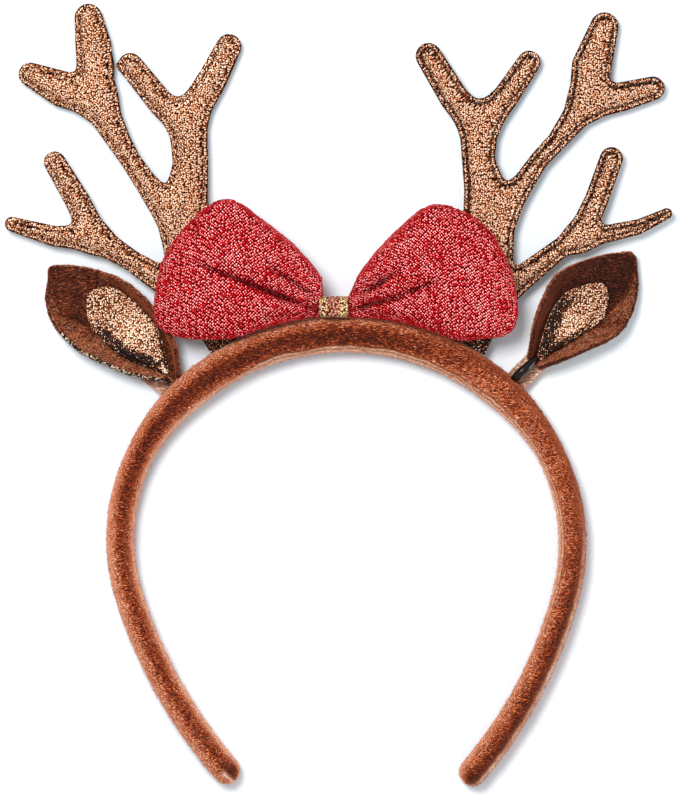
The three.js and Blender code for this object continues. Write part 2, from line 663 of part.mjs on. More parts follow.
// The middle surface of an ear's felt: a floor between walls that rise to the leaf's edges
function earSurface(ear) {
  const shape = tableCurve(ear.rows, "along");
  const heading = degToRad(ear.heading);
  const axis = new THREE.Vector3(Math.cos(heading), Math.sin(heading), 0);
  const upperSide = new THREE.Vector3(-axis.y, axis.x, 0).multiplyScalar(ear.upperTurn);
  const root = new THREE.Vector3(ear.rootX, ear.rootY, 0);
  const point = (along, offset) => {
    const { upper, lower, floor, upperRise, lowerRise } = shape(along);
    const middle = (upper - lower) / 2;
    const half = (upper + lower) / 2;
    const across = (offset - middle) / half;
    const fold = across > 0 ? ear.upperFold : ear.lowerFold;
    const rise = across > 0 ? upperRise : lowerRise;
    const wall = clamp((Math.abs(across) - fold) / (1 - fold), 0, 1) ** earCloth.wallCurve;
    const place = root.clone().addScaledVector(axis, along).addScaledVector(upperSide, offset);
    return place.setZ(floor + rise * wall);
  };
  const normal = (along, offset) => {
    const reach = earCloth.normalReach;
    const ahead = point(along + reach, offset).sub(point(along - reach, offset));
    const aside = point(along, offset + reach).sub(point(along, offset - reach));
    const up = ahead.cross(aside).normalize();
    return up.z < 0 ? up.negate() : up;
  };
  return { point, normal, shape };
}

// A cupped leaf of the given thickness that follows an ear's surface, lifted off it along its normal
function earLeaf(ear, rows, thickness, lift) {
  const { point, normal } = earSurface(ear);
  const rings = rows.map(({ along, upper, lower }) => {
    const offsets = Array.from({ length: earCloth.acrossPoints }, (_, i) => {
      const part = i / (earCloth.acrossPoints - 1);
      return lerp(-lower, upper, part);
    });
    const face = (height) =>
      offsets.map((offset) => point(along, offset).addScaledVector(normal(along, offset), height));
    return [...face(lift + thickness / 2), ...face(lift - thickness / 2).reverse()];
  });
  return loft(rings);
}

function earTabGeometry(ear) {
  const { shape } = earSurface(ear);
  const { from, to, upper, lower } = ear.tab;
  const lowest = Math.min(shape(0).floor, shape(to).floor) - earCloth.feltThickness / 2;
  const plate = new THREE.BoxGeometry(to - from, upper + lower, earTab.thickness);
  plate.translate((from + to) / 2, (ear.upperTurn * (upper - lower)) / 2, 0);
  plate.rotateZ(degToRad(ear.heading));
  plate.translate(ear.rootX, ear.rootY, lowest - gap - earTab.thickness / 2);
  return plate;
}

function earStemGeometry(ear) {
  const { shape } = earSurface(ear);
  const length = earStem.to - earStem.from;
  const cord = new THREE.CylinderGeometry(earStem.diameter / 2, earStem.diameter / 2, length, earStem.sides);
  cord.rotateZ(-Math.PI / 2);
  cord.translate((earStem.from + earStem.to) / 2, earStem.offset, 0);
  cord.rotateZ(degToRad(ear.heading));
  const height = shape(earStem.to).floor + earCloth.feltThickness / 2 + gap + earStem.diameter / 2;
  return cord.translate(ear.rootX, ear.rootY, height);
}

const headband = new THREE.Group();
const addPiece = (name, geometry, material) => {
  const mesh = new THREE.Mesh(geometry, material);
  mesh.name = name;
  headband.add(mesh);
};

const hoopClearance = hoopGeometry(gap);
addPiece("hoop", hoopGeometry(), felt);

for (const [name, table, profile] of [
  ["antler_left_front", leftAntler, smoothFront],
  ["antler_left_back", leftAntler, antlerBack],
  ["antler_right_front", rightAntler, stitchedFront],
  ["antler_right_back", rightAntler, antlerBack],
]) {
  addPiece(name, cutAway(antlerLayer(table, profile), hoopClearance), antlerGlitter);
}

addPiece("bow", loft(bowSections.map(bowRing)), redKnit);
addPiece("bow_band", bowBandGeometry(), goldKnit);

for (const [side, ear] of [["left", leftEar], ["right", rightEar]]) {
  const liningLift = (earCloth.feltThickness + earCloth.liningThickness) / 2 + earCloth.liningGap;
  const leaf = earLeaf(ear, ear.rows, earCloth.feltThickness, 0);
  addPiece(`ear_${side}_felt`, cutAway(leaf, hoopClearance), earFelt);
  const lining = earLeaf(ear, ear.liningRows, earCloth.liningThickness, liningLift);
  addPiece(`ear_${side}_lining`, lining, liningGlitter);
  addPiece(`ear_${side}_tab`, cutAway(earTabGeometry(ear), hoopClearance), tabFelt);
}
addPiece("ear_right_stem", cutAway(earStemGeometry(rightEar), hoopClearance), blackCord);

export default headband;
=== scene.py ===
# Antler headband lying on its back on a pale table, seen from straight above.
import math

import bpy
import numpy as np
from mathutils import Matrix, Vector, noise
from mathutils.bvhtree import BVHTree
from mathutils.geometry import delaunay_2d_cdt, tessellate_polygon
from mathutils.kdtree import KDTree


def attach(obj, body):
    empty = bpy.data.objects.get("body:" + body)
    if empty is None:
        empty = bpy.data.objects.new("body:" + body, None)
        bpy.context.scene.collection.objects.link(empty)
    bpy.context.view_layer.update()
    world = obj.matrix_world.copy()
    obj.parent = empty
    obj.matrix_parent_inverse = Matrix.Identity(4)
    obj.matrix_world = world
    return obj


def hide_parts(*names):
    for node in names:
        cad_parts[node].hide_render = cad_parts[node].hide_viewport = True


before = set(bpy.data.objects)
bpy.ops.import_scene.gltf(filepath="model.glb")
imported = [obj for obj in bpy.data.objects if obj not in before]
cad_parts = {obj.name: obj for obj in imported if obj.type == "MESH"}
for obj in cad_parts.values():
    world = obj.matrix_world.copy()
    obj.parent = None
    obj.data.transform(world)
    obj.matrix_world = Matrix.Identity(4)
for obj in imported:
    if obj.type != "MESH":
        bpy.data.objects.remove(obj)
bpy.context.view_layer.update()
mm = 0.001  # the frame is in metres, the sizes below are in millimetres
print("frame loaded,", len(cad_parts), "nodes")


# Small tools for materials
def linear(code):
    parts = [int(code[i : i + 2], 16) / 255 for i in (1, 3, 5)]
    return [p / 12.92 if p <= 0.04045 else ((p + 0.055) / 1.055) ** 2.4 for p in parts] + [1.0]


def addNode(tree, kind, settings, inputs, out=None):
    node = tree.nodes.new("ShaderNode" + kind)
    for name, value in settings.items():
        if name != "stops":
            setattr(node, name, value)
            continue
        while len(node.color_ramp.elements) < len(value):
            node.color_ramp.elements.new(1)
        for element, (place, code) in zip(node.color_ramp.elements, value):
            element.position = place
            element.color = linear(code)
    for name, value in inputs.items():
        if isinstance(value, bpy.types.NodeSocket):
            tree.links.new(value, node.inputs[name])
        else:
            node.inputs[name].default_value = value
    return node if out is None else node.outputs[out]


def newMaterial(name):
    material = bpy.data.materials.new(name)
    material.use_nodes = True
    material.node_tree.nodes.clear()
    return material, material.node_tree


# Camera, light and table
photoView = {
    "pixel": 0.3,  # millimetres that a pixel of the photograph covers
    "tall": 800,
    "middle": (-1.5, -19.8),  # what the picture's middle looks at
    "height": 6,  # level that is drawn at that scale
    "distance": 2000,
    "sensor": 36,
    "clip": (0.1, 20),
}
lighting = {
    "keyPlace": (-255, 285, 1010),  # large soft box, up and to the left
    "keySize": 420,
    "keyPower": 9.5,
    "rimPlace": (900, -330, 150),  # low strip on the right, which catches the nap along the edges
    "rimSize": 420,
    "rimPower": 4.2,
    "target": (0, -20, 0),
    "sky": 0.645,
    "skyTone": "#f7fbff",
}

camera = bpy.data.objects.new("camera", bpy.data.cameras.new("camera"))
bpy.context.scene.collection.objects.link(camera)
camera.data.sensor_width = photoView["sensor"]
camera.data.lens = photoView["sensor"] * photoView["distance"] / (photoView["tall"] * photoView["pixel"])
camera.location = Vector((*photoView["middle"], photoView["height"] + photoView["distance"])) * mm
camera.data.clip_start, camera.data.clip_end = photoView["clip"]
bpy.context.scene.camera = camera

for name in ("key", "rim"):
    lamp = bpy.data.lights.new(name + "SoftBox", "AREA")
    lamp.shape = "DISK"
    lamp.size = lighting[name + "Size"] * mm
    lamp.energy = lighting[name + "Power"]
    softBox = bpy.data.objects.new(name + "SoftBox", lamp)
    softBox.location = Vector(lighting[name + "Place"]) * mm
    aim = Vector(lighting["target"]) * mm - softBox.location
    softBox.rotation_euler = aim.to_track_quat("-Z", "Y").to_euler()
    bpy.context.scene.collection.objects.link(softBox)

world = bpy.data.worlds.new("paleRoom")
bpy.context.scene.world = world
world.use_nodes = True
world.node_tree.nodes["Background"].inputs["Color"].default_value = linear(lighting["skyTone"])
world.node_tree.nodes["Background"].inputs["Strength"].default_value = lighting["sky"]
bpy.context.scene.view_settings.view_transform = "Standard"
bpy.context.scene.view_settings.look = "None"


# Small tools for meshes; points are in millimetres
def readMesh(mesh):
    points = np.zeros(len(mesh.vertices) * 3)
    mesh.vertices.foreach_get("co", points)
    return points.reshape(-1, 3), np.array([list(p.vertices) for p in mesh.polygons])


# A node's solid, with the points that its faces share joined up
def cadMesh(name):
    points, faces = readMesh(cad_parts[name].data)
    points = points / mm
    _, first, where = np.unique(np.round(points, 3), axis=0, return_index=True, return_inverse=True)
    faces = where.reshape(-1)[faces]
    apart = (faces[:, 0] != faces[:, 1]) & (faces[:, 1] != faces[:, 2]) & (faces[:, 2] != faces[:, 0])
    return points[first], faces[apart]


def plainMesh(name, points, faces):
    mesh = bpy.data.meshes.new(name)
    mesh.from_pydata(np.asarray(points).tolist(), [], [list(map(int, f)) for f in faces])
    mesh.update()
    return mesh


# What a modifier makes of a mesh, read back as points and faces
def modified(points, faces, addModifier):
    mesh = plainMesh("temporary", points, faces)
    temporary = bpy.data.objects.new("temporary", mesh)
    bpy.context.scene.collection.objects.link(temporary)
    addModifier(temporary)
    shown = temporary.evaluated_get(bpy.context.evaluated_depsgraph_get())
    made = bpy.data.meshes.new_from_object(shown)
    result = readMesh(made)
    bpy.data.objects.remove(temporary)
    bpy.data.meshes.remove(mesh)
    bpy.data.meshes.remove(made)
    return result


def remeshed(points, faces, voxel):
    def addVoxels(temporary):
        modifier = temporary.modifiers.new("voxels", "REMESH")
        modifier.mode = "VOXEL"
        modifier.voxel_size = voxel

    return modified(points, faces, addVoxels)


def meshEdges(faces):
    around = [faces[:, [i, (i + 1) % faces.shape[1]]] for i in range(faces.shape[1])]
    return np.unique(np.sort(np.vstack(around), axis=1), axis=0)


def addUp(count, where, what):
    return np.stack([np.bincount(where, what[:, k], count) for k in range(3)], axis=1)


# Evens out a mesh without shrinking it: each round pulls it smooth and pushes it back out
def relaxed(points, faces, rounds, pull=0.5, push=-0.53):
    edges = meshEdges(faces)
    ends, others = np.concatenate([edges[:, 0], edges[:, 1]]), np.concatenate([edges[:, 1], edges[:, 0]])
    degree = np.bincount(ends, minlength=len(points))[:, None]
    for weight in [pull, push] * rounds:
        points = points + weight * (addUp(len(points), ends, points[others]) / degree - points)
    return points


def faceNormals(points, faces):
    a, b, c = (points[faces[:, k]] for k in range(3))
    return np.cross(c - a, points[faces[:, 3]] - b) if faces.shape[1] == 4 else np.cross(b - a, c - a)


def unit(vectors):
    return vectors / np.maximum(np.linalg.norm(vectors, axis=1, keepdims=True), 1e-9)


def pointNormals(points, faces):
    flat = faceNormals(points, faces)
    return unit(sum(addUp(len(points), faces[:, k], flat) for k in range(faces.shape[1])))


# Quads from each ring of points to the next
def tubeFaces(rings, count, first=0):
    faces = []
    for ring in range(rings - 1):
        for i in range(count):
            a, b = first + ring * count + i, first + ring * count + (i + 1) % count
            faces.append((a, b, b + count, a + count))
    return faces


def between(pair, part):
    return pair[0] + (pair[1] - pair[0]) * part


def ease(values, start, end):
    part = np.clip((values - start) / (end - start), 0, 1)
    return part * part * (3 - 2 * part)


def graded(values, least, gain, start, end):
    return least + gain * ease(values, start, end)


def bell(values, width):
    return np.exp(-((values / width) ** 2))


def lumps(points, size, seed):
    return np.array([noise.noise(Vector(p) / size + Vector((seed, 0, 0))) for p in points])


def lineDistance(places, start, end):
    run = np.subtract(end, start)
    part = np.clip(((places - start) @ run) / (run @ run), 0, 1)
    return np.linalg.norm(places - start - part[:, None] * run, axis=1), part


def newPiece(name, points, faces, materials, nodes=(), sharp=None):
    mesh = plainMesh(name, np.asarray(points) * mm, faces)
    for material in materials:
        mesh.materials.append(material)
    mesh.polygons.foreach_set("use_smooth", [True] * len(mesh.polygons))
    if sharp:
        mesh.set_sharp_from_angle(angle=math.radians(sharp))
    piece = bpy.data.objects.new(name, mesh)
    bpy.context.scene.collection.objects.link(piece)
    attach(piece, "root")
    if nodes:
        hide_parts(*nodes)
    return piece


def addMask(piece, name, values):
    layer = piece.data.attributes.new(name, "FLOAT", "POINT")
    layer.data.foreach_set("value", np.asarray(values, np.float32))


# A finish with one grain: its size in millimetres, its tones, what the shader gets, and any relief
def grainedFinish(name, look):
    material, tree = newMaterial(name)
    places = addNode(tree, "TexCoord", {}, {}, "Object")
    pattern = {"Vector": places, "Scale": 1 / (look["grain"] * mm), "Detail": look["detail"]}
    grain = addNode(tree, "TexNoise", {}, pattern, "Fac")
    tone = addNode(tree, "ValToRGB", {"stops": look["tones"]}, {"Fac": grain}, "Color")
    surface = {"Base Color": tone, **look["surface"]}
    if "relief" in look:
        relief = {"Strength": look["bump"], "Distance": look["relief"] * mm, "Height": grain}
        surface["Normal"] = addNode(tree, "Bump", {}, relief, "Normal")
    shader = addNode(tree, "BsdfPrincipled", {}, surface, "BSDF")
    addNode(tree, "OutputMaterial", {}, {"Surface": shader})
    return material


# Table top: satin laminate, so pale that only the shadows show it
satinLaminate = {
    "grain": 40,
    "detail": 2,
    "tones": [(0.3, "#edf4f9"), (0.7, "#f0f6fa")],
    "surface": {"Roughness": 0.7, "IOR": 1.46},
}
tableTop = {"half": 3000, "level": -0.1}
half, level = tableTop["half"], tableTop["level"]
corners = [(x * half, y * half, level) for x, y in ((-1, -1), (1, -1), (1, 1), (-1, 1))]
table = bpy.data.objects.new("table", plainMesh("table", np.array(corners) * mm, [(0, 1, 2, 3)]))
table.data.materials.append(grainedFinish("satinLaminate", satinLaminate))
bpy.context.scene.collection.objects.link(table)
print("camera, light and table set")


# Needle-punched felt: tangled acrylic fibres that scatter light, so edges seen along the nap glow and
# the face that looks straight up stays dark. Fibres are 0.03 mm; they are drawn about ten times as coarse.
def needledFelt(name, look):
    material, tree = newMaterial(name)
    places = addNode(tree, "TexCoord", {}, {}, "Object")
    tangle = None
    for turn in (0.3, 1.4, 2.5):  # three layers of fibres, each lying its own way
        way = {"Vector": places, "Rotation": (0.4, 0.2, turn), "Scale": (0.22, 1, 1)}
        lay = addNode(tree, "Mapping", {}, way, "Vector")
        fibre = {"Vector": lay, "Scale": 1 / (look["strand"] * mm), "Detail": 3, "Roughness": 0.6}
        strand = addNode(tree, "TexNoise", {}, fibre, "Fac")
        if tangle is None:
            tangle = strand
        else:
            tangle = addNode(tree, "Math", {"operation": "MAXIMUM"}, {0: tangle, 1: strand}, "Value")
    spread = {"Vector": places, "Scale": 1 / (look["cloud"] * mm), "Detail": 3}
    cloud = addNode(tree, "TexNoise", {}, spread, "Fac")
    shade = addNode(tree, "Mix", {"data_type": "FLOAT"}, {0: look["clouded"], 2: tangle, 3: cloud}, 0)
    # painted light and shade, kept on the mesh, lifts or lowers the tone
    nap = addNode(tree, "Attribute", {"attribute_name": "nap"}, {}, "Fac")
    lifted = {0: nap, 1: look["shadingLift"], 2: shade}
    shade = addNode(tree, "Math", {"operation": "MULTIPLY_ADD"}, lifted, "Value")
    tone = addNode(tree, "ValToRGB", {"stops": look["tones"]}, {"Fac": shade}, "Color")
    for mask, code in look["masks"].items():
        share = addNode(tree, "Attribute", {"attribute_name": mask}, {}, "Fac")
        tone = addNode(tree, "Mix", {"data_type": "RGBA"}, {0: share, 6: tone, 7: linear(code)}, 2)
    contrast = {"Value": tangle, "From Min": 0.5, "From Max": 0.68, "To Min": 0.84, "To Max": 1.18}
    grain = addNode(tree, "MapRange", {}, contrast, "Result")
    tone = addNode(tree, "VectorMath", {"operation": "SCALE"}, {0: tone, "Scale": grain}, "Vector")
    relief = {"Strength": look["bump"], "Distance": 0.3 * mm, "Height": tangle}
    surface = {
        "Base Color": tone,
        "Roughness": 0.95,
        "IOR": 1.5,
        "Specular IOR Level": 0.15,
        "Sheen Weight": look["sheen"],
        "Sheen Roughness": look["sheenRoughness"],
        "Sheen Tint": linear(look["sheenTint"]),
        "Normal": addNode(tree, "Bump", {}, relief, "Normal"),
    }
    shader = addNode(tree, "BsdfPrincipled", {}, surface, "BSDF")
    addNode(tree, "OutputMaterial", {}, {"Surface": shader})
    return material


# Loose acrylic fibre ends: each one its own shade, and paler where the painted light and shade is lighter
def looseFibre(name, tones, sheenTint):
    shadingLift = 0.5
    material, tree = newMaterial(name)
    each = addNode(tree, "NewGeometry", {}, {}, "Random Per Island")
    nap = addNode(tree, "Attribute", {"attribute_name": "nap"}, {}, "Fac")
    pick = addNode(tree, "Math", {"operation": "MULTIPLY_ADD"}, {0: nap, 1: shadingLift, 2: each}, "Value")
    tone = addNode(tree, "ValToRGB", {"stops": tones}, {"Fac": pick}, "Color")
    surface = {"Base Color": tone, "Roughness": 0.85, "Sheen Weight": 0.3, "Sheen Tint": linear(sheenTint)}
    shader = addNode(tree, "BsdfPrincipled", {}, surface, "BSDF")
    addNode(tree, "OutputMaterial", {}, {"Surface": shader})
    return material


# Short closed spikes that lie over a fabric's surface at all angles
def feltFuzz(name, points, faces, look, material, nap=None, bare=None):
    count = look["count"]
    rng = np.random.default_rng(look["seed"])
    triangles = np.vstack([faces[:, [0, 1, 2]], faces[:, [0, 2, 3]]])
    normals = pointNormals(points, faces)
    area = np.linalg.norm(faceNormals(points, triangles), axis=1)
    if bare is not None:
        area = area * (1 - bare[triangles].mean(1))
    picked = triangles[rng.choice(len(triangles), count, p=area / area.sum())]
    u, v = rng.random((2, count, 1))
    u, v = np.where(u + v > 1, 1 - u, u), np.where(u + v > 1, 1 - v, v)
    shares = (1 - u - v, u, v)
    root = sum(s * points[picked[:, k]] for k, s in enumerate(shares))
    out = unit(sum(s * normals[picked[:, k]] for k, s in enumerate(shares)))
    along = rng.normal(size=root.shape)
    along = unit(along - (along * out).sum(1, keepdims=True) * out)
    lift = between(look["lift"], rng.random((count, 1)) ** 2)
    heading = along * np.sqrt(1 - lift**2) + out * lift
    length = between(look["length"], rng.random((count, 1)) ** 2)
    side = unit(np.cross(heading, out))
    above = np.cross(side, heading)
    root = root - look["sunk"] * out
    corners = [
        root + look["thick"] / 2 * (math.cos(a) * side + math.sin(a) * above)
        for a in (math.pi / 2, math.pi * 7 / 6, math.pi * 11 / 6)
    ]
    tip = root + length * heading
    tip[:, 2] = np.maximum(tip[:, 2], look["lowest"])
    spikes = np.stack([*corners, tip], axis=1).reshape(-1, 3)
    first = 4 * np.arange(count)[:, None]
    sides = np.vstack([first + np.array(f) for f in ((0, 1, 3), (1, 2, 3), (2, 0, 3), (0, 2, 1))])
    piece = newPiece(name, spikes, sides, [material])
    if nap is not None:
        addMask(piece, "nap", np.repeat(sum(s[:, 0] * nap[picked[:, k]] for k, s in enumerate(shares)), 4))
    return piece


# Hoop: felt wrapped round padding, lapped along the crown's inner front
hoop = {
    "left": ((72.3, 44.6), (57.2, 62.8), (146.5, 25.2)),  # radius and sweep of crown, temple and leg
    "right": ((71.3, 46), (59.4, 58.9), (136.2, 27.2)),
    "thickness": (10.7, 8.1),
    "depth": (12, 9.8),
    "taper": (45, 78),
    "middle": 0.47,
    "squareness": 2.3,
    "tipRound": 4.2,
    "tipSteps": (0.15, 0.3, 0.45, 0.6, 0.73, 0.84, 0.92, 0.97, 0.995),
    "lapAngle": (126, 186),
    "lapTurn": {"left": (25, 62), "right": (110, 190)},  # where the lap goes round to the inner side
    "lapStep": (0.45, 0.15),
    "lapFade": 60,
    "lapWave": 8,  # degrees that the lap wanders
    "lapWander": (9, 3.5, 0.6),  # in long waves and short ones, and the short ones' share
    "seamHalf": 4.5,  # half width of the lap's dark line of painted shade, in degrees
    "seamDark": 0.8,
    # second line below the lap, pressed in and painted with shade: degrees from it, half width in degrees,
    # depth, and how it sways
    "tuck": {"behind": 22, "half": 4.5, "deep": 0.35, "sway": 0.7, "swaySize": 5},
    "strip": (300, 330),  # pale strip below the lap
    "stripShading": (0.6, 0.9),
    "stripPale": 0.5,
    # painted light and shade of the felt, lighter where the key and rim lights would fall, from the inner
    # side (-1) to the outer side (1)
    "shadingAt": (-1, -0.92, -0.78, -0.6, -0.38, -0.12, 0.12, 0.38, 0.62, 0.82, 1),
    "nap": {
        "left": (1.3, 1.1, 0.4, -0.1, -0.85, -1, -0.9, -0.15, 0.45, 0.75, 0.9),
        "leftLeg": (1.1, 0.9, 0.3, -0.05, -0.3, -0.45, -0.05, 0.55, 0.8, 0.9, 1),
        "right": (1.5, 1.3, 0.95, 0.65, 0.15, 0, -0.02, -0.05, -0.15, -0.5, -0.3),
        "rightLeg": (0.9, 1, 0.85, 0.55, 0.25, -0.2, -0.6, -1, -1, 0.2, 0.4),
    },
    # and how much pale painted highlight the felt gets there
    "pale": {
        "left": (0.8, 0.55, 0.1, 0, 0, 0, 0, 0, 0, 0, 0),
        "leftLeg": (0.8, 0.5, 0.1, 0, 0, 0, 0, 0, 0, 0, 0.15),
        "right": (0.6, 0.35, 0, 0, 0, 0, 0, 0, 0, 0, 0.1),
        "rightLeg": (0.35, 0.15, 0, 0, 0, 0, 0, 0, 0.05, 0.75, 0.85),
    },
    "palePatches": (0.85, 0.5, 5),  # its mean, how much it varies, and the patches' length
    "underside": (-0.35, 0),  # lower than this share of the height the felt is plain again
    "shadingHalf": (5, 45),  # across the crown, from the left half's painted light and shade to the right half's
    "shadingLeg": {"left": (75, 110), "right": (80, 130)},
    "tipShading": (1.1, 0.75, 0.95),  # the round tips are painted lighter: by how much, from and to
    "dent": {  # tucked end of the wrap: a real dent, painted darker as shade in its hollow
        "left": {"fromEnd": 2.8, "long": 2.6, "angle": 112, "wide": 34, "deep": 0.8, "dark": 0.75},
        "right": {"fromEnd": 3, "long": 2.4, "angle": 76, "wide": 36, "deep": 0.4, "dark": 0.4},
    },
    "fold": {"angle": 78, "wide": 8, "long": (5.2, 3.8)},  # pale edge of the left end's tuck
    "step": 1.1,
    "around": 72,
    "lumpSize": 5,
    "lumpHeight": 0.12,
}
hoopFelt = {
    "strand": 0.27,
    "cloud": 6,
    "clouded": 0.06,
    "tones": [
        (0.5, "#380c03"),
        (0.545, "#6a230b"),
        (0.58, "#983a1a"),
        (0.615, "#bc5828"),
        (0.66, "#de8856"),
        (0.72, "#fbe0ca"),
    ],
    "shadingLift": 0.068,
    # the pale mask is painted highlight along the edges, with the pale strip under the lap; the dark one is
    # painted shade
    "masks": {"rubbedPale": "#dab498", "lapShade": "#2a0f07"},
    "bump": 0.8,
    "sheen": 0.7,
    "sheenRoughness": 0.45,
    "sheenTint": "#ff8a55",
}
hoopFuzz = {
    "seed": 11,
    "count": 44000,
    "length": (0.4, 2.2),
    "thick": 0.15,
    "lift": (0.05, 0.5),
    "sunk": 0.05,
    "lowest": 0.05,
}
hoopFibre = [(0.0, "#3e0f04"), (0.45, "#8a3518"), (0.8, "#c4683e"), (1.0, "#f4c8ac")]


def hoopPlace(side, distance):
    x = y = turned = 0
    for radius, sweep in hoop["left"] if side < 0 else hoop["right"]:
        turn = min(distance / radius, math.radians(sweep))
        x += side * radius * (math.sin(turned + turn) - math.sin(turned))
        y += radius * (math.cos(turned + turn) - math.cos(turned))
        turned += turn
        distance -= turn * radius
    return np.array((x, y, 0)), np.array((side * math.sin(turned), math.cos(turned), 0))


# One ring of the wrap: its points, and how much painted highlight, painted shade and painted light and shade
# the felt gets there
def hoopRing(side, distance, length):
    hand, run = "left" if side < 0 else "right", side * distance
    taper = float(ease(distance, *hoop["taper"]))
    lapPart = float(ease(distance, *hoop["lapTurn"][hand]))
    thick = between(hoop["thickness"], taper) / 2
    depth = between(hoop["depth"], distance / length)
    middle = depth * hoop["middle"]
    longWave, shortWave, shortShare = hoop["lapWander"]
    wander = noise.noise(Vector((run / longWave, 3.1, 0)))
    wander += shortShare * noise.noise(Vector((run / shortWave, 0, 7)))
    lap = between(hoop["lapAngle"], lapPart) + hoop["lapWave"] * wander * (1 - lapPart)
    into = np.clip((distance - (length - hoop["tipRound"])) / hoop["tipRound"], 0, 1)
    scale = math.sqrt(max(1 - into**2, 0))
    turns = np.concatenate([[0], np.linspace(0, 360, hoop["around"], endpoint=False)])
    proud = between(hoop["lapStep"], lapPart) * np.maximum(0, 1 - turns / hoop["lapFade"])
    proud[0] = 0
    angle = np.radians(lap - turns)
    power = 2 / hoop["squareness"]
    across = (thick + proud) * np.sign(np.cos(angle)) * np.abs(np.cos(angle)) ** power
    up = (depth - middle + proud) * np.sign(np.sin(angle)) * np.abs(np.sin(angle)) ** power
    tuck = hoop["tuck"]
    sway = hoop["lapWave"] * noise.noise(Vector((run / tuck["swaySize"], 9, 1)))
    tucked = bell(360 - turns - tuck["behind"] - tuck["sway"] * sway, tuck["half"]) * (1 - lapPart)
    shrink = 1 - tuck["deep"] * tucked / thick
    centre, out = hoopPlace(side, distance)
    ring = centre + scale * (shrink * across)[:, None] * out
    ring[:, 2] = middle + scale * np.maximum(shrink * up, -middle)

    strip = ease(turns, *hoop["strip"]) * (1 - lapPart)
    strip[0] = 1 - lapPart
    seam = bell(np.minimum(turns, 360 - turns), hoop["seamHalf"]) * (1 - lapPart)
    rightPart = float(ease(run, *hoop["shadingHalf"]))
    legPart = float(ease(distance, *hoop["shadingLeg"][hand]))
    shares = {"right": rightPart * (1 - legPart), "left": (1 - rightPart) * (1 - legPart)}
    shares[hand + "Leg"] = legPart
    facing = across / (thick + proud)
    shown = ease(up / (depth - middle), *hoop["underside"])
    nap, pale = (
        sum(share * np.interp(facing, hoop["shadingAt"], hoop[kind][name]) for name, share in shares.items())
        for kind in ("nap", "pale")
    )
    mean, varied, patch = hoop["palePatches"]
    pale = pale * [mean + varied * noise.noise(Vector((run / patch, a, 5))) for a in angle]
    lighter, tipFrom, tipTo = hoop["tipShading"]
    nap = shown * (nap * (1 - hoop["stripShading"][0] * strip) + hoop["stripShading"][1] * strip)
    nap = nap + lighter * ease(into, tipFrom, tipTo)
    dent, fold = hoop["dent"][hand], hoop["fold"]
    fromEnd, around = length - distance, np.degrees(angle)
    sunken = bell(fromEnd - dent["fromEnd"], dent["long"]) * bell(around - dent["angle"], dent["wide"])
    ring[:, 2] -= dent["deep"] * sunken
    folded = bell(around - fold["angle"], fold["wide"]) * (side < 0) * float(ease(fromEnd, *fold["long"]))
    # painted highlight on the edges, with the pale strip and the tuck's fold
    pale = np.maximum(np.maximum(shown * pale, folded), hoop["stripPale"] * strip * (1 - rightPart))
    # painted shade in the lap's line, the tuck and the dent
    shade = np.maximum(np.maximum(seam, tucked), dent["dark"] * sunken * (1 - folded))
    return ring, pale, shade, nap - dent["dark"] * sunken


def buildHoop():
    made = []
    for side in (-1, 1):
        length = sum(r * math.radians(s) for r, s in hoop["left" if side < 0 else "right"])
        even = np.linspace(0, length - hoop["tipRound"], int(length / hoop["step"]))
        tip = length - hoop["tipRound"] + hoop["tipRound"] * np.array(hoop["tipSteps"])
        half = [hoopRing(side, d, length) for d in [*even, *tip]]
        made += half[1:][::-1] if side < 0 else half
    rings, pales, shades, paintedShadings = zip(*made)
    count = hoop["around"] + 1
    points = np.vstack(rings)
    faces = np.array(tubeFaces(len(rings), count))
    ends = np.vstack([rings[0].mean(0), rings[-1].mean(0)])
    last = (len(rings) - 1) * count
    caps = [(len(points), (i + 1) % count, i) for i in range(count)]
    caps += [(len(points) + 1, last + i, last + (i + 1) % count) for i in range(count)]
    out = pointNormals(points, faces)
    centres = np.repeat([r.mean(0) for r in rings], count, axis=0)
    way = 1 if (out * (points - centres)).sum() > 0 else -1
    points = points + way * out * (hoop["lumpHeight"] * lumps(points, hoop["lumpSize"], 2))[:, None]
    points[:, 2] = np.maximum(points[:, 2], 0)
    allPoints = np.vstack([points, ends])
    allFaces = [list(f)[::way] for f in [*faces, *caps]]
    felt = needledFelt("rustFelt", hoopFelt)
    piece = newPiece("hoop_cover", allPoints, allFaces, [felt], ["hoop"])
    addMask(piece, "rubbedPale", np.concatenate([*pales, [0, 0]]))
    addMask(piece, "lapShade", hoop["seamDark"] * np.concatenate([*shades, [0, 0]]))
    addMask(piece, "nap", np.concatenate([*paintedShadings, [1, 1]]))
    fibres = looseFibre("rustFibre", hoopFibre, "#ff9a66")
    nap, bare = np.concatenate(paintedShadings), np.clip(np.concatenate(shades), 0, 1)
    feltFuzz("hoop_fuzz", points, faces[:, ::way], hoopFuzz, fibres, nap, bare)
    return allPoints, allFaces


hoopPoints, hoopFaces = buildHoop()
hoopTree = BVHTree.FromPolygons(hoopPoints.tolist(), [list(map(int, f)) for f in hoopFaces])
print("hoop built")


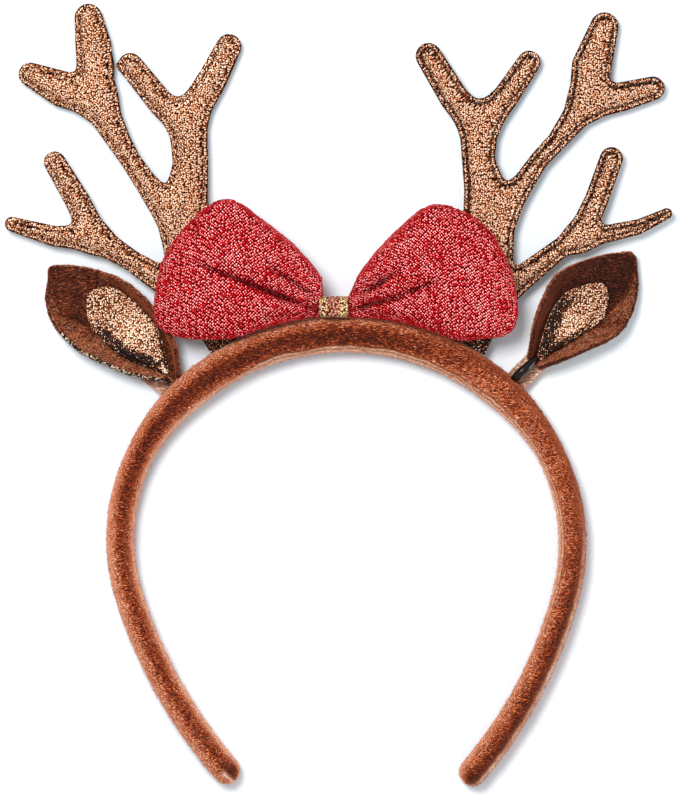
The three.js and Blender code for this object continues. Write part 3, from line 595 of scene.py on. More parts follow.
# Glitter fabric: flakes of metallised film, 0.2 to 0.3 mm, bonded to cloth. Each lies at its own tilt,
# so neighbours go from near black to white. They are drawn about twice as large, so that they show.
def glitterFabric(name, look):
    material, tree = newMaterial(name)
    places = addNode(tree, "TexCoord", {}, {}, "Object")
    height = addNode(tree, "SeparateXYZ", {}, {"Vector": places}, "Z")
    slant = {0: (0.8, 0.6, 0), "Scale": height}  # keeps the flakes from smearing down steep sides
    leaning = addNode(tree, "VectorMath", {"operation": "SCALE"}, slant, "Vector")
    across = addNode(tree, "VectorMath", {"operation": "ADD"}, {0: places, 1: leaning}, "Vector")
    cells = {"Vector": across, "Scale": 1 / (look["flake"] * mm), "Randomness": look["jitter"]}
    flakes = addNode(tree, "TexVoronoi", {"voronoi_dimensions": "2D"}, cells)
    parts = addNode(tree, "SeparateColor", {}, {"Color": flakes.outputs["Color"]})
    spread = {"Vector": places, "Scale": 1 / (look["cloud"] * mm), "Detail": 2}
    cloud = addNode(tree, "TexNoise", {}, spread, "Fac")
    swing = {0: cloud, 1: look["drift"], 2: -look["drift"] / 2}
    drift = addNode(tree, "Math", {"operation": "MULTIPLY_ADD"}, swing, "Value")
    brightness = {"Value": parts.outputs["Red"], "To Min": look["dullest"], "To Max": 1}
    each = addNode(tree, "MapRange", {}, brightness, "Result")
    pick = addNode(tree, "Math", {"operation": "ADD", "use_clamp": True}, {0: each, 1: drift}, "Value")
    fall = {
        "Value": flakes.outputs["Distance"],
        "From Min": look["flat"][0],
        "From Max": look["flat"][1],
        "To Min": 1,
        "To Max": 0,
    }
    flat = addNode(tree, "MapRange", {"interpolation_type": "SMOOTHSTEP"}, fall, "Result")
    pick = addNode(tree, "Math", {"operation": "MULTIPLY"}, {0: pick, 1: flat}, "Value")
    for mask, pull in look["masks"].items():  # a power, so that a few flakes still flash in the dark parts
        share = addNode(tree, "Attribute", {"attribute_name": mask}, {}, "Fac")
        power = addNode(tree, "Math", {"operation": "MULTIPLY_ADD"}, {0: share, 1: pull, 2: 1}, "Value")
        pick = addNode(tree, "Math", {"operation": "POWER"}, {0: pick, 1: power}, "Value")
    tone = addNode(tree, "ValToRGB", {"stops": look["tones"]}, {"Fac": pick}, "Color")
    centred = {0: flakes.outputs["Color"], 1: (0.5, 0.5, 0.5)}
    tilt = addNode(tree, "VectorMath", {"operation": "SUBTRACT"}, centred, "Vector")
    lean = addNode(tree, "VectorMath", {"operation": "SCALE"}, {0: tilt, "Scale": look["tilt"]}, "Vector")
    straight = addNode(tree, "NewGeometry", {}, {}, "Normal")
    leaned = addNode(tree, "VectorMath", {"operation": "ADD"}, {0: straight, 1: lean}, "Vector")
    gloss = {"Value": parts.outputs["Green"], "To Min": 0.25, "To Max": 0.6}
    surface = {
        "Base Color": tone,
        "Metallic": look["metallic"],
        "Roughness": addNode(tree, "MapRange", {}, gloss, "Result"),
        "Specular IOR Level": 0.1,
        "Normal": addNode(tree, "VectorMath", {"operation": "NORMALIZE"}, {0: leaned}, "Vector"),
    }
    shader = addNode(tree, "BsdfPrincipled", {}, surface, "BSDF")
    addNode(tree, "OutputMaterial", {}, {"Surface": shader})
    return material


# Antlers: two layers of glitter fabric each, the front one padded. The right one shows its topstitching.
antler = {
    "rootHeight": 5.2,
    "rootY": -5,
    "lean": 0.029,
    "seam": 0.15,
    "grid": 0.38,
    "outlineStep": 0.6,
    "fineStep": 0.15,
    "edgeHeight": 0.6,
    "butt": 0.6,  # an edge this close to the hoop is where the antler meets it
    "pucker": (0.05, 2.3, 0.9),  # height, how far inside the edge, and width
    "stitchEvery": 2.9,
    "stitchLength": 2.1,
    "stitchInset": 1.6,
    "stitchSlack": 0.25,  # round tight corners the line may come this much nearer to the edge
    "stitchRise": (-0.15, 0.4, 0.6),  # ends' level in the groove, height and fullness of the bow
    "threadThick": 0.4,
    "threadEnds": (0.55, 0.45),
    "grooveSide": (-0.75, 0.66),  # the groove's painted shade is deepest along the edges that face this way, the left antler's painted edge shade along those that face away
    "grooveDark": (0.4, 0.6, -0.3, 0.6),  # painted shade in the groove: least, gain, and how far an edge faces that way
    "groovePatches": (0.7, 0.5, 3.5),  # mean, how much it varies, and the patches' length
    "leftGroove": (0.2, 1.55),  # the left antler's seam line of painted shade is only faint
    "lineWide": 0.3,  # half width of the dark lines, partly painted shade, along the edge and the stitches
    # dark line along the edge: even on the right antler, on the left one painted as shade on edges facing
    # from the light
    "rightEdge": 0.9,
    "leftEdge": (0.25, 0.6, -0.2, 0.7),
    "rootShadow": (0.4, -3, 3),
    "flare": {"left": (-39.5, 4), "right": (41, -7)},  # the root's middle, and how it widens to the bow
    "flareAcross": (-1, 3),
    "flareUp": (-1, 9),
    "flareGap": 0.4,
    "sharp": 50,
}
antlerProfiles = {  # inset from the edge, and height above the middle
    "antler_left_front": ((0, 1), (0.5, 1.3), (1.2, 1.5), (1.6, 1.5), (2.4, 2.05), (3.6, 2.45), (6, 2.6)),
    "antler_right_front": ((0, 1), (0.4, 1.2), (1.2, 1.25), (1.6, 0.7), (2, 1.4), (3.4, 2.1), (6, 2.4)),
    "antler_left_back": ((0, 0.9), (1.4, 1), (2.6, 1.5), (6, 1.6)),
    "antler_right_back": ((0, 0.9), (1.4, 1), (2.6, 1.5), (6, 1.6)),
}
copperGlitter = {
    "flake": 0.54,
    "jitter": 0.85,
    "dullest": 0.53,
    "flat": (0.08, 0.78),
    "cloud": 9,
    "drift": 0.06,
    "tilt": 0.5,
    "metallic": 0.2,
    "masks": {"seamShade": 5},
    "tones": [
        (0.0, "#0c0402"),
        (0.13, "#1d0c05"),
        (0.45, "#a0522c"),
        (0.52, "#9e542e"),
        (0.61, "#ffbc8a"),
        (0.8, "#ffead0"),
    ],
}
# Polyester sewing thread, twisted from two plies: a soft shine that comes and goes along it
darkThread = {
    "grain": 0.3,
    "detail": 1,
    "tones": [(0.35, "#1d120d"), (0.65, "#4a2f22")],
    "surface": {"Roughness": 0.5, "Sheen Weight": 0.2},
}


# Loops of points round the faces that look up, or down, the longest first
def faceLoops(points, faces, sign):
    flat = unit(faceNormals(points, faces))
    chosen = faces[sign * flat[:, 2] > 0.001]
    edges = np.vstack([chosen[:, [0, 1]], chosen[:, [1, 2]], chosen[:, [2, 0]]]).tolist()
    twins = {(b, a) for a, b in edges}
    following = {}
    for a, b in edges:
        if (a, b) not in twins:
            following.setdefault(a, []).append(b)
    loops = []
    while following:
        loop = [next(iter(following))]
        while loop[-1] in following:
            onward = following[loop[-1]]
            loop.append(onward.pop())
            if not onward:
                del following[loop[-2]]
        loops.append(loop[:-1])
    return sorted(loops, key=len, reverse=True)


def evenLoop(line, step):
    closed = np.vstack([line, line[:1]])
    along = np.concatenate([[0], np.cumsum(np.linalg.norm(np.diff(closed, axis=0), axis=1))])
    at = np.linspace(0, along[-1], max(12, int(along[-1] / step)), endpoint=False)
    return np.stack([np.interp(at, along, closed[:, k]) for k in range(2)], axis=1)


# Directions that point out of a loop, at each of its points or at those of another line along it
def loopOutwards(loop, line):
    after = np.roll(loop, -1, axis=0)
    spin = (loop[:, 0] * after[:, 1] - loop[:, 1] * after[:, 0]).sum()
    ahead = np.roll(line, -1, axis=0) - np.roll(line, 1, axis=0)
    return unit(np.column_stack([ahead[:, 1], -ahead[:, 0]])) * math.copysign(1, spin)


def nearestOf(places):
    tree = KDTree(len(places))
    for i, p in enumerate(places):
        tree.insert((*p, 0), i)
    tree.balance()
    return lambda at: np.array([tree.find((*p, 0))[1:] for p in at])


def isInside(places, loop):
    inside = np.zeros(len(places), bool)
    for a, b in zip(loop, np.roll(loop, -1, axis=0)):
        crosses = (a[1] > places[:, 1]) != (b[1] > places[:, 1])
        if crosses.any():
            x = a[0] + (places[:, 1] - a[1]) * (b[0] - a[0]) / (b[1] - a[1] + 1e-12)
            inside ^= crosses & (places[:, 0] < x)
    return inside


# Triangles over an outline, with points inside it at an even spacing
def filled(loop, spacing):
    clear = 0.6 * spacing  # from the outline to the nearest points inside it
    low, high = loop.min(0), loop.max(0)
    grid = []
    for j, y in enumerate(np.arange(low[1], high[1], spacing * math.sqrt(0.75))):
        columns = np.arange(low[0] + (j % 2) * spacing / 2, high[0], spacing)
        grid.append(np.column_stack([columns, np.full(len(columns), y)]))
    grid = np.vstack(grid)
    grid = grid[isInside(grid, loop)]
    away = nearestOf(evenLoop(loop, spacing / 3))(grid)[:, 1]
    every = [Vector(p) for p in np.vstack([loop, grid[away > clear]])]
    made = delaunay_2d_cdt(every, [], [list(range(len(loop)))], 1, 1e-6)
    return np.array([v[:] for v in made[0]]), np.array(made[2])


def antlerMiddle(y):
    return antler["rootHeight"] - antler["lean"] * (y - antler["rootY"])


def smoothProfile(rows):
    insets, heights = np.array(rows, float).T
    fine = np.linspace(0, insets[-1], 200)
    row = np.clip(np.searchsorted(insets, fine, side="right") - 1, 0, len(insets) - 2)
    part = (fine - insets[row]) / (insets[row + 1] - insets[row])
    return fine, heights[row] + (heights[row + 1] - heights[row]) * part * part * (3 - 2 * part)


# The root spreads along the hoop, under the bow
def flaredRoot(outline, side):
    middle, wider = antler["flare"][side]
    share = ease(math.copysign(1, wider) * (outline[:, 0] - middle), *antler["flareAcross"])
    share = share * (1 - ease(outline[:, 1], *antler["flareUp"]))
    crown = hoop[side][0][0]
    run = outline + share[:, None] * (wider, 0) + (0, crown)
    far = np.linalg.norm(run, axis=1)
    clear = crown + hoop["thickness"][0] / 2 + antler["flareGap"]
    moved = share > 0.02
    out = np.where(moved, np.maximum(clear / far, 1), 1)
    return run * out[:, None] - (0, crown)


# How far the flakes are darkened: painted shade along the edge and in the stitched groove, deeper on edges
# facing one way, and a painted shadow on the root under the bow
def antlerShade(node, inset, along, facing, y):
    edge = antler["rightEdge"] if "right" in node else graded(-facing, *antler["leftEdge"])
    dark, start, end = antler["rootShadow"]
    shade = edge * bell(inset, antler["lineWide"]) + dark * (1 - ease(y, start, end))
    if node == "antler_right_front":
        mean, varied, patch = antler["groovePatches"]
        patchy = mean + varied * np.array([noise.noise(Vector((a / patch, 0, 4))) for a in along])
        deep = graded(facing, *antler["grooveDark"]) * patchy
        shade += deep * bell(inset - antler["stitchInset"], antler["lineWide"])
    elif node == "antler_left_front":
        dark, place = antler["leftGroove"]
        shade += dark * bell(inset - place, antler["lineWide"])
    return np.clip(shade, 0, 1)


def buildAntlerLayer(node, material):
    sign = 1 if node.endswith("front") else -1
    points, faces = cadMesh(node)
    loop = faceLoops(points, faces, sign)[0]
    outline = flaredRoot(points[loop][:, :2], node.split("_")[1])
    outline = evenLoop(outline, antler["outlineStep"])
    edge = [(*p, antlerMiddle(p[1]) + sign * antler["edgeHeight"]) for p in outline]
    butts = np.array([hoopTree.find_nearest(place)[3] < antler["butt"] for place in edge])
    flat, triangles = filled(outline, antler["grid"] if sign > 0 else 2 * antler["grid"])
    fineLine = evenLoop(outline, antler["fineStep"])
    owners = nearestOf(outline)(fineLine)[:, 0].astype(int)
    fineLine = fineLine[~butts[owners]]
    found = nearestOf(fineLine)(flat)
    inset, along = found[:, 1], found[:, 0] * antler["fineStep"]
    rise = np.interp(inset, *smoothProfile(antlerProfiles[node]))
    if sign > 0:
        height, place, width = antler["pucker"]
        rise += height * bell(inset - place, width) * np.cos(2 * math.pi * along / antler["stitchEvery"])
    tops = np.column_stack([flat, antlerMiddle(flat[:, 1]) + sign * rise])
    rims = faceLoops(np.column_stack([flat, np.zeros(len(flat))]), triangles, 1)
    made, count = [list(f)[::sign] for f in triangles], len(tops)
    seams = []
    for rim in rims:
        under = {k: count + n for n, k in enumerate(rim)}
        seams += [(*flat[k], antlerMiddle(flat[k][1]) + sign * antler["seam"]) for k in rim]
        count += len(rim)
        made += [[a, under[a], under[b], b][::sign] for a, b in zip(rim, rim[1:] + rim[:1])]
        for triangle in tessellate_polygon([[Vector((*flat[k], 0)) for k in rim]]):
            a, b, c = (flat[rim[i]] for i in triangle)
            spin = np.cross(b - a, c - a)
            corners = [under[rim[i]] for i in triangle]
            made.append(corners if (spin > 0) == (sign < 0) else corners[::-1])
    everything = np.vstack([tops, seams])
    piece = newPiece(
        node + "_fabric", everything, made, [material], [node], sharp=antler["sharp"]
    )
    facing = (loopOutwards(outline, fineLine) @ antler["grooveSide"])[found[:, 0].astype(int)]
    shade = antlerShade(node, inset, along, facing, flat[:, 1])
    addMask(piece, "seamShade", np.concatenate([shade, np.ones(len(seams))]))
    return piece, outline, butts


# A thread's stitches in the groove, each a bowed tube that dives in at both ends
def buildStitches(name, outline, butts, profile, material):
    sides, above = 6, np.array((0, 0, 1))
    line = outline - antler["stitchInset"] * loopOutwards(outline, outline)
    inset = nearestOf(outline[~butts])(line)[:, 1]
    good = (np.abs(inset - antler["stitchInset"]) < antler["stitchSlack"]) & ~butts
    depth = np.interp(antler["stitchInset"], *smoothProfile(profile))
    every = max(2, round(antler["stitchEvery"] / antler["outlineStep"]))
    held = max(2, round(antler["stitchLength"] / antler["outlineStep"]))
    ends, bowed, fullness = antler["stitchRise"]
    parts, steps = np.linspace(0, 1, 7), np.arange(held + 1)
    points, faces = [], []
    for start in range(0, len(line) - held, every):
        if not good[start : start + held + 1].all():
            continue
        run = line[start : start + held + 1]
        path = np.stack([np.interp(parts * held, steps, run[:, k]) for k in range(2)], axis=1)
        level = antlerMiddle(path[:, 1]) + depth + ends + bowed * np.sin(math.pi * parts) ** fullness
        heading = unit(np.gradient(path, axis=0))
        aside = np.column_stack([-heading[:, 1], heading[:, 0], np.zeros(len(path))])
        first = len(points)
        for place, z, across, part in zip(path, level, aside, parts):
            least, gain = antler["threadEnds"]
            radius = antler["threadThick"] / 2 * (least + gain * math.sin(math.pi * part))
            for turn in np.arange(sides) * 2 * math.pi / sides:
                points.append((*place, z) + radius * (math.cos(turn) * across + math.sin(turn) * above))
        faces += tubeFaces(len(path), sides, first)
        faces.append(tuple(range(first, first + sides))[::-1])
        faces.append(tuple(range(len(points) - sides, len(points))))
    return newPiece(name, np.array(points), faces, [material])


copper = glitterFabric("copperGlitterFabric", copperGlitter)
for node, profile in antlerProfiles.items():
    piece, outline, butts = buildAntlerLayer(node, copper)
    if node.endswith("front"):
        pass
    else:
        half = sum(p.area for p in piece.data.polygons) / 2
    if node == "antler_right_front":
        thread = grainedFinish("darkThread", darkThread)
        buildStitches("antler_right_stitches", outline, butts, profile, thread)
print("antlers built")


# Metallic knit: dyed yarn knitted together with a flat metallised strand, whose flash once in each stitch, at
# the middle of its loop, is painted into the colour. Stitches are 0.55 to 0.75 mm apart, in staggered rows.
def metallicKnit(name, look):
    material, tree = newMaterial(name)
    across = addNode(tree, "Attribute", {"attribute_name": "knitU"}, {}, "Fac")
    rows = addNode(tree, "Attribute", {"attribute_name": "knitV"}, {}, "Fac")
    flat = addNode(tree, "CombineXYZ", {}, {"X": across, "Y": rows}, "Vector")
    stagger = {"Vector": flat, "Rotation": (0, 0, math.pi / 4), "Scale": [1 / look["pitch"]] * 3}
    turned = addNode(tree, "Mapping", {}, stagger, "Vector")
    cells = {"Vector": turned, "Scale": 1, "Randomness": look["jitter"]}
    stitches = addNode(tree, "TexVoronoi", {"voronoi_dimensions": "2D"}, cells)
    loop, core = (
        addNode(
            tree,
            "MapRange",
            {"interpolation_type": "SMOOTHSTEP"},
            {
                "Value": stitches.outputs["Distance"],
                "From Min": limits[0],
                "From Max": limits[1],
                "To Min": 1,
                "To Max": edge,
            },
            "Result",
        )
        for limits, edge in ((look["loop"], 0), (look["core"], look["coreEdge"]))
    )
    chance = addNode(tree, "SeparateColor", {}, {"Color": stitches.outputs["Color"]}, "Red")
    brightness = {"Value": chance, "To Min": look["dullest"], "To Max": 1}
    each = addNode(tree, "MapRange", {}, brightness, "Result")
    flash = addNode(tree, "Attribute", {"attribute_name": "glint"}, {}, "Fac")
    spread = {"Vector": flat, "Scale": 1 / look["cloud"], "Detail": 2}
    cloud = addNode(tree, "TexNoise", {"noise_dimensions": "2D"}, spread, "Fac")
    swing = {"Value": cloud, "From Min": 0.3, "From Max": 0.7, "To Min": 0.88, "To Max": 1.08}
    drift = addNode(tree, "MapRange", {}, swing, "Result")
    lively = addNode(tree, "Math", {"operation": "MULTIPLY"}, {0: flash, 1: drift}, "Value")
    bright = addNode(tree, "Math", {"operation": "MULTIPLY"}, {0: each, 1: lively}, "Value")
    bright = addNode(tree, "Math", {"operation": "MULTIPLY"}, {0: bright, 1: core}, "Value")
    strand = addNode(tree, "ValToRGB", {"stops": look["strand"]}, {"Fac": bright}, "Color")
    yarn = addNode(tree, "ValToRGB", {"stops": look["yarn"]}, {"Fac": each}, "Color")
    tone = addNode(tree, "Mix", {"data_type": "RGBA"}, {0: loop, 6: yarn, 7: strand}, 2)
    for mask, code in look["masks"].items():
        share = addNode(tree, "Attribute", {"attribute_name": mask}, {}, "Fac")
        tone = addNode(tree, "Mix", {"data_type": "RGBA"}, {0: share, 6: tone, 7: linear(code)}, 2)
    relief = {"Strength": 0.5, "Distance": 0.25 * mm, "Height": loop}
    surface = {
        "Base Color": tone,
        "Metallic": look["metallic"],
        "Roughness": 0.6,
        "Specular IOR Level": 0.05,
        "Sheen Weight": 0.01,
        "Sheen Tint": linear(look["sheenTint"]),
        "Normal": addNode(tree, "Bump", {}, relief, "Normal"),
    }
    shader = addNode(tree, "BsdfPrincipled", {}, surface, "BSDF")
    addNode(tree, "OutputMaterial", {}, {"Surface": shader})
    return material


# Bow: a stuffed tube of knit, gathered at its waist. It is blown up as cloth, then its folds are
# pressed in.
bow = {
    "voxel": 1.0,
    "startInside": 0.6,
    "edgeGrow": 0.55,
    "middle": -3.7,
    "facing": {"upper": (0.1, 0.7), "lower": (0.1, 0.8), "left": (0.2, 0.8)},  # what counts as an edge
    "overHoop": (0.9, 45, 55),  # how far the lower edge reaches over the hoop, and where that fades out
    "trim": (1.5, -15, -8.5, 9, 16),  # the left loop slims to the band: depth, across and up, from and to
    "shoulder": (1.3, -14, -8.6, -6.4, 8, 12),  # and leans over it: how far, across from, to, gone, and up
    "upperEdge": (  # places across the bow, and how much fuller the upper edge is there
        (-58, -1.2), (-54, -1), (-48, -0.1), (-44, 0.7), (-36, 0.5), (-30, 0), (-27, 0.3), (-22, 1.1),
        (-12, 1.4), (-10.5, 0.5), (-8.7, -1), (-6, 0), (0, 0), (1.8, -1), (3.6, -0.9), (5.4, -0.3),
        (8, 0.3), (25, 0.7), (33, 0.7), (38, 1.3), (43, 1.2), (47, -0.3),
    ),
    "lowerEdge": ((5, 0), (18, 0.5), (24, 0.9), (32, 0.9), (40, 0)),  # and how much lower the lower one hangs
    "leftEdge": (0.8, -40, 20, 27),  # the left end is fuller: by how much, from where, and where it fades
    "rightWaist": ((10.9, 16.2), (0.6, 3)),  # the right loop's edge by the band: up and across
    "rightWaistFrom": (10.6, 11.4),
    "pinned": (-9.4, 1.9),
    "frames": 20,
    "pressure": 3.5,
    "spare": -0.04,  # the cloth is cut this much larger than the stuffing
    "cap": 1.0,
    "folds": (
        (-8.6, 6.8, -49.5, 23, 2.4, 0.65),  # from, to, depth and width
        (-9.8, 11.4, -24, 21, 2, 0.6),
        (-9, 6.2, -26, 4.6, 0.9, 1.3),
        (1.4, 7.2, 18, 11.2, 1.8, 0.8),
        (14, 10.2, 29, 16.6, 1.5, 0.8),
        (4.6, 11.4, 18, 20, 1.5, 0.75),
        (1.6, 6.4, 16, 5.6, 0.8, 1.3),
    ),
    "foldFront": (0.05, 0.5),  # folds show only where the cover faces up
    "foldWaver": (0.5, 6),
    "foldStart": (0.5, 0.3),  # depth at the start, and the share of the length that it deepens over
    "foldEnd": 6,  # power of the fading towards the end
    "foldSharp": 1.3,
    "foldDark": (0.3, 1.5, 0.85),  # depths from and to, and the shade
    "puckers": 15,
    "puckerHeight": 0.28,
    "puckerReach": 11,
    "knots": ((-7.6, 8.4), (0.2, 8.4)),
    "fullWidth": 42,
    "leastWidth": 3,
    "gather": 0.42,
    "sideFrom": 17,  # below this height the knit runs down the sides
    "sideFacing": (0.2, 0.6),
    "glint": (0.86, 0.15, 0.5, 0.92),  # painted glint, brighter where the cover faces up: least, gain, and how far up it faces
    # sides turned from the light are painted plain red, without glints
    "edgeRed": (0.4, 0.2, 0.75),
    "fuzzBare": (0.8, 0.4, 0.8),  # most of the loose fibres show along the edges
}
redKnit = {
    "pitch": 0.74,
    "jitter": 0.5,
    "loop": (0.29, 0.54),
    "core": (0.12, 0.3),
    "coreEdge": 0.5,  # brightness left at the loop's edge
    "dullest": 0.55,
    "cloud": 7,
    "metallic": 0.1,
    # plain red on the sides without painted glints, and painted shade in the creases
    "masks": {"edgeRed": "#d40a1e", "creaseShade": "#3c0206"},
    "yarn": [(0.0, "#2a0103"), (1.0, "#4a040c")],
    "strand": [
        (0.26, "#98040e"),
        (0.39, "#e40c1a"),
        (0.6, "#ea2626"),
        (0.64, "#fab4ac"),
        (1.0, "#fff2ee"),
    ],
    "sheenTint": "#ff5050",
}
bowFuzz = {
    **hoopFuzz,
    "seed": 17,
    "count": 2600,
    "length": (0.3, 1),
    "thick": 0.11,
    "lift": (0.1, 0.9),
    "lowest": 8,
}
bowFibre = [(0.0, "#86020a"), (0.7, "#cc1420"), (1.0, "#e85058")]


def blownUp(points, faces):
    scale = 0.1  # simulated in centimetres, where the solver's settings suit it

    def addCloth(temporary):
        group = temporary.vertex_groups.new(name="waist")
        held = np.flatnonzero((points[:, 0] > bow["pinned"][0]) & (points[:, 0] < bow["pinned"][1]))
        group.add(held.tolist(), 1.0, "REPLACE")
        cloth = temporary.modifiers.new("cloth", "CLOTH")
        cloth.settings.quality = 6
        cloth.settings.mass = 0.2
        cloth.settings.tension_stiffness = 12
        cloth.settings.compression_stiffness = 12
        cloth.settings.shear_stiffness = 4
        cloth.settings.bending_stiffness = 0.3
        cloth.settings.use_pressure = True
        cloth.settings.uniform_pressure_force = bow["pressure"]
        cloth.settings.shrink_min = bow["spare"]
        cloth.settings.vertex_group_mass = "waist"
        cloth.settings.effector_weights.gravity = 0
        cloth.collision_settings.use_collision = False
        cloth.point_cache.frame_start = 1
        cloth.point_cache.frame_end = bow["frames"]
        for step in range(1, bow["frames"] + 1):
            bpy.context.scene.frame_set(step)

    moved = modified(points * scale, faces, addCloth)[0] / scale - points
    bpy.context.scene.frame_set(1)
    far = np.linalg.norm(moved, axis=1, keepdims=True)
    return points + moved * np.minimum(1, bow["cap"] / np.maximum(far, 1e-6))


def subdivided(points, faces):
    def addLevel(temporary):
        temporary.modifiers.new("finer", "SUBSURF").levels = 1

    return modified(points, faces, addLevel)


# Moves the blown-up cover's edges to where the sewn and gathered ones run
def shapeEdges(points, normals):
    upper = ease(normals[:, 1], *bow["facing"]["upper"])
    lower = ease(-normals[:, 1], *bow["facing"]["lower"])
    reach, near, far = bow["overHoop"]
    points[:, 1] -= reach * lower * (1 - ease(np.abs(points[:, 0] - bow["middle"]), near, far))
    deep, acrossFrom, acrossTo, upFrom, upTo = bow["trim"]
    slim = ease(points[:, 0], acrossFrom, acrossTo) * (points[:, 0] < bow["knots"][0][0])
    points[:, 1] -= deep * slim * ease(points[:, 1], upFrom, upTo)
    points[:, 1] += np.interp(points[:, 0], *zip(*bow["upperEdge"])) * upper
    points[:, 1] -= np.interp(points[:, 0], *zip(*bow["lowerEdge"])) * lower
    fuller, start, upFrom, upTo = bow["leftEdge"]
    leftEnd = ease(-normals[:, 0], *bow["facing"]["left"]) * (points[:, 0] < start)
    points[:, 0] -= fuller * leftEnd * (1 - ease(points[:, 1], upFrom, upTo))
    lean, acrossFrom, acrossTo, gone, upFrom, upTo = bow["shoulder"]
    leaning = ease(points[:, 0], acrossFrom, acrossTo) * (1 - ease(points[:, 0], acrossTo, gone))
    points[:, 0] += lean * leaning * ease(points[:, 1], upFrom, upTo)
    waist = np.interp(points[:, 1], *bow["rightWaist"])
    beside = (points[:, 0] > 0) * ease(points[:, 1], *bow["rightWaistFrom"])
    points[:, 0] += beside * np.maximum(waist - points[:, 0], 0)


def pressFolds(points, faces):
    front = ease(pointNormals(points, faces)[:, 2], *bow["foldFront"])
    dip = np.zeros(len(points))
    waver, waves = bow["foldWaver"]
    least, deepens = bow["foldStart"]
    for x, y, toX, toY, depth, width in bow["folds"]:
        away, part = lineDistance(points[:, :2], (x, y), (toX, toY))
        away = away + waver * np.array([noise.noise(Vector((p * waves, x, 0))) for p in part])
        along = (least + (1 - least) * ease(part, 0, deepens)) * (1 - part ** bow["foldEnd"])
        dip = np.maximum(dip, depth * along * np.exp(-np.abs(away / width) ** bow["foldSharp"]))
    for way, knot in zip((-1, 1), bow["knots"]):
        run = points[:, :2] - knot
        turn = np.arctan2(run[:, 1], np.abs(run[:, 0]))
        reach = np.exp(-np.linalg.norm(run, axis=1) / bow["puckerReach"])
        dip -= (way * run[:, 0] > 0) * bow["puckerHeight"] * reach * np.cos(bow["puckers"] * turn)
    start, end, dark = bow["foldDark"]
    points[:, 2] -= front * dip
    return dark * (front * ease(dip, start, end))


# Places of the knit's stitches: closer together where the cover is gathered, and on down its sides
def knitPlaces(points, normals):
    columns = np.round(points[:, 0]).astype(int)
    columns -= columns.min()
    low, high = np.full(columns.max() + 1, 1e9), np.full(columns.max() + 1, -1e9)
    np.minimum.at(low, columns, points[:, 1])
    np.maximum.at(high, columns, points[:, 1])
    middle, tall = (low + high)[columns] / 2, np.maximum((high - low)[columns], bow["leastWidth"])
    down = (1 - ease(normals[:, 2], *bow["sideFacing"])) * (bow["sideFrom"] - points[:, 2])
    rows = (points[:, 1] - middle) * (bow["fullWidth"] / tall) ** bow["gather"]
    return points[:, 0] + down * normals[:, 0], rows + down * normals[:, 1]


def buildBow():
    points, faces = remeshed(*cadMesh("bow"), bow["voxel"])
    points = relaxed(points, faces, 4)
    normals = pointNormals(points, faces)
    points = points - bow["startInside"] * np.abs(normals[:, 2:]) * normals
    points = blownUp(points, faces)
    points, faces = subdivided(points, faces)
    normals = pointNormals(points, faces)
    points = points + bow["edgeGrow"] * (1 - np.abs(normals[:, 2:])) * normals
    shapeEdges(points, normals)
    creases = pressFolds(points, faces)
    knit = metallicKnit("redMetallicKnit", redKnit)
    piece = newPiece("bow_cover", points, faces, [knit], ["bow"])
    normals = pointNormals(points, faces)
    knitU, knitV = knitPlaces(points, normals)
    addMask(piece, "knitU", knitU)
    addMask(piece, "knitV", knitV)
    addMask(piece, "glint", graded(normals[:, 2], *bow["glint"]))
    red, start, end = bow["edgeRed"]
    addMask(piece, "edgeRed", red * (1 - ease(normals[:, 2], start, end)))
    addMask(piece, "creaseShade", creases)
    share, start, end = bow["fuzzBare"]
    bare = share * ease(normals[:, 2], start, end)
    fibres = looseFibre("redFibre", bowFibre, "#ff5050")
    feltFuzz("bow_fuzz", points, faces, bowFuzz, fibres, bare=bare)


buildBow()
print("bow built")


# Gold band round the bow's waist, with a shinier selvedge at each side
goldBand = {
    "voxel": 0.3,
    "grow": 0.35,
    "rib": 0.1,
    "ribEvery": 1.3,
    "middle": (8.3, 11.7),
    "sag": (0.5, 0.2, 0.9),  # how far the lower edge hangs, and what faces down
    "selvedge": (0.35, 0.85, 0.35, 0.6),  # glint in the middle, gain, and where across it rises
}
goldKnit = {
    "pitch": 0.56,
    "jitter": 0.8,
    "loop": (0.2, 0.56),
    "core": (0.13, 0.32),
    "coreEdge": 0.9,
    "dullest": 0,
    "cloud": 3,
    "metallic": 0.2,
    "masks": {},
    "yarn": [(0.0, "#1c0804"), (1.0, "#6a3018")],
    "strand": [
        (0.0, "#7a2c1e"),
        (0.12, "#d87a62"),
        (0.3, "#ffbca4"),
        (0.5, "#fccc72"),
        (0.75, "#ffe890"),
        (1.0, "#fffbe0"),
    ],
    "sheenTint": "#ffe9a0",
}


def buildBand():
    points, faces = remeshed(*cadMesh("bow_band"), goldBand["voxel"])
    points = relaxed(points, faces, 3)
    low, high = points.min(0), points.max(0)
    across = (2 * points[:, 0] - low[0] - high[0]) / (high[0] - low[0])
    out = points - (0, *goldBand["middle"])
    around = np.arctan2(out[:, 2], out[:, 1]) * np.hypot(high[1] - low[1], high[2] - low[2]) / 2
    ribs = goldBand["rib"] * np.cos(2 * math.pi * points[:, 0] / goldBand["ribEvery"])
    normals = pointNormals(points, faces)
    points = points + normals * (goldBand["grow"] + ribs)[:, None]
    hangs, start, end = goldBand["sag"]
    points[:, 1] -= hangs * ease(-normals[:, 1], start, end)
    knit = metallicKnit("goldMetallicKnit", goldKnit)
    piece = newPiece("bow_band_knit", points, faces, [knit], ["bow_band"])
    addMask(piece, "knitU", points[:, 0])
    addMask(piece, "knitV", around)
    addMask(piece, "glint", graded(np.abs(across), *goldBand["selvedge"]))


buildBand()
print("bow band built")


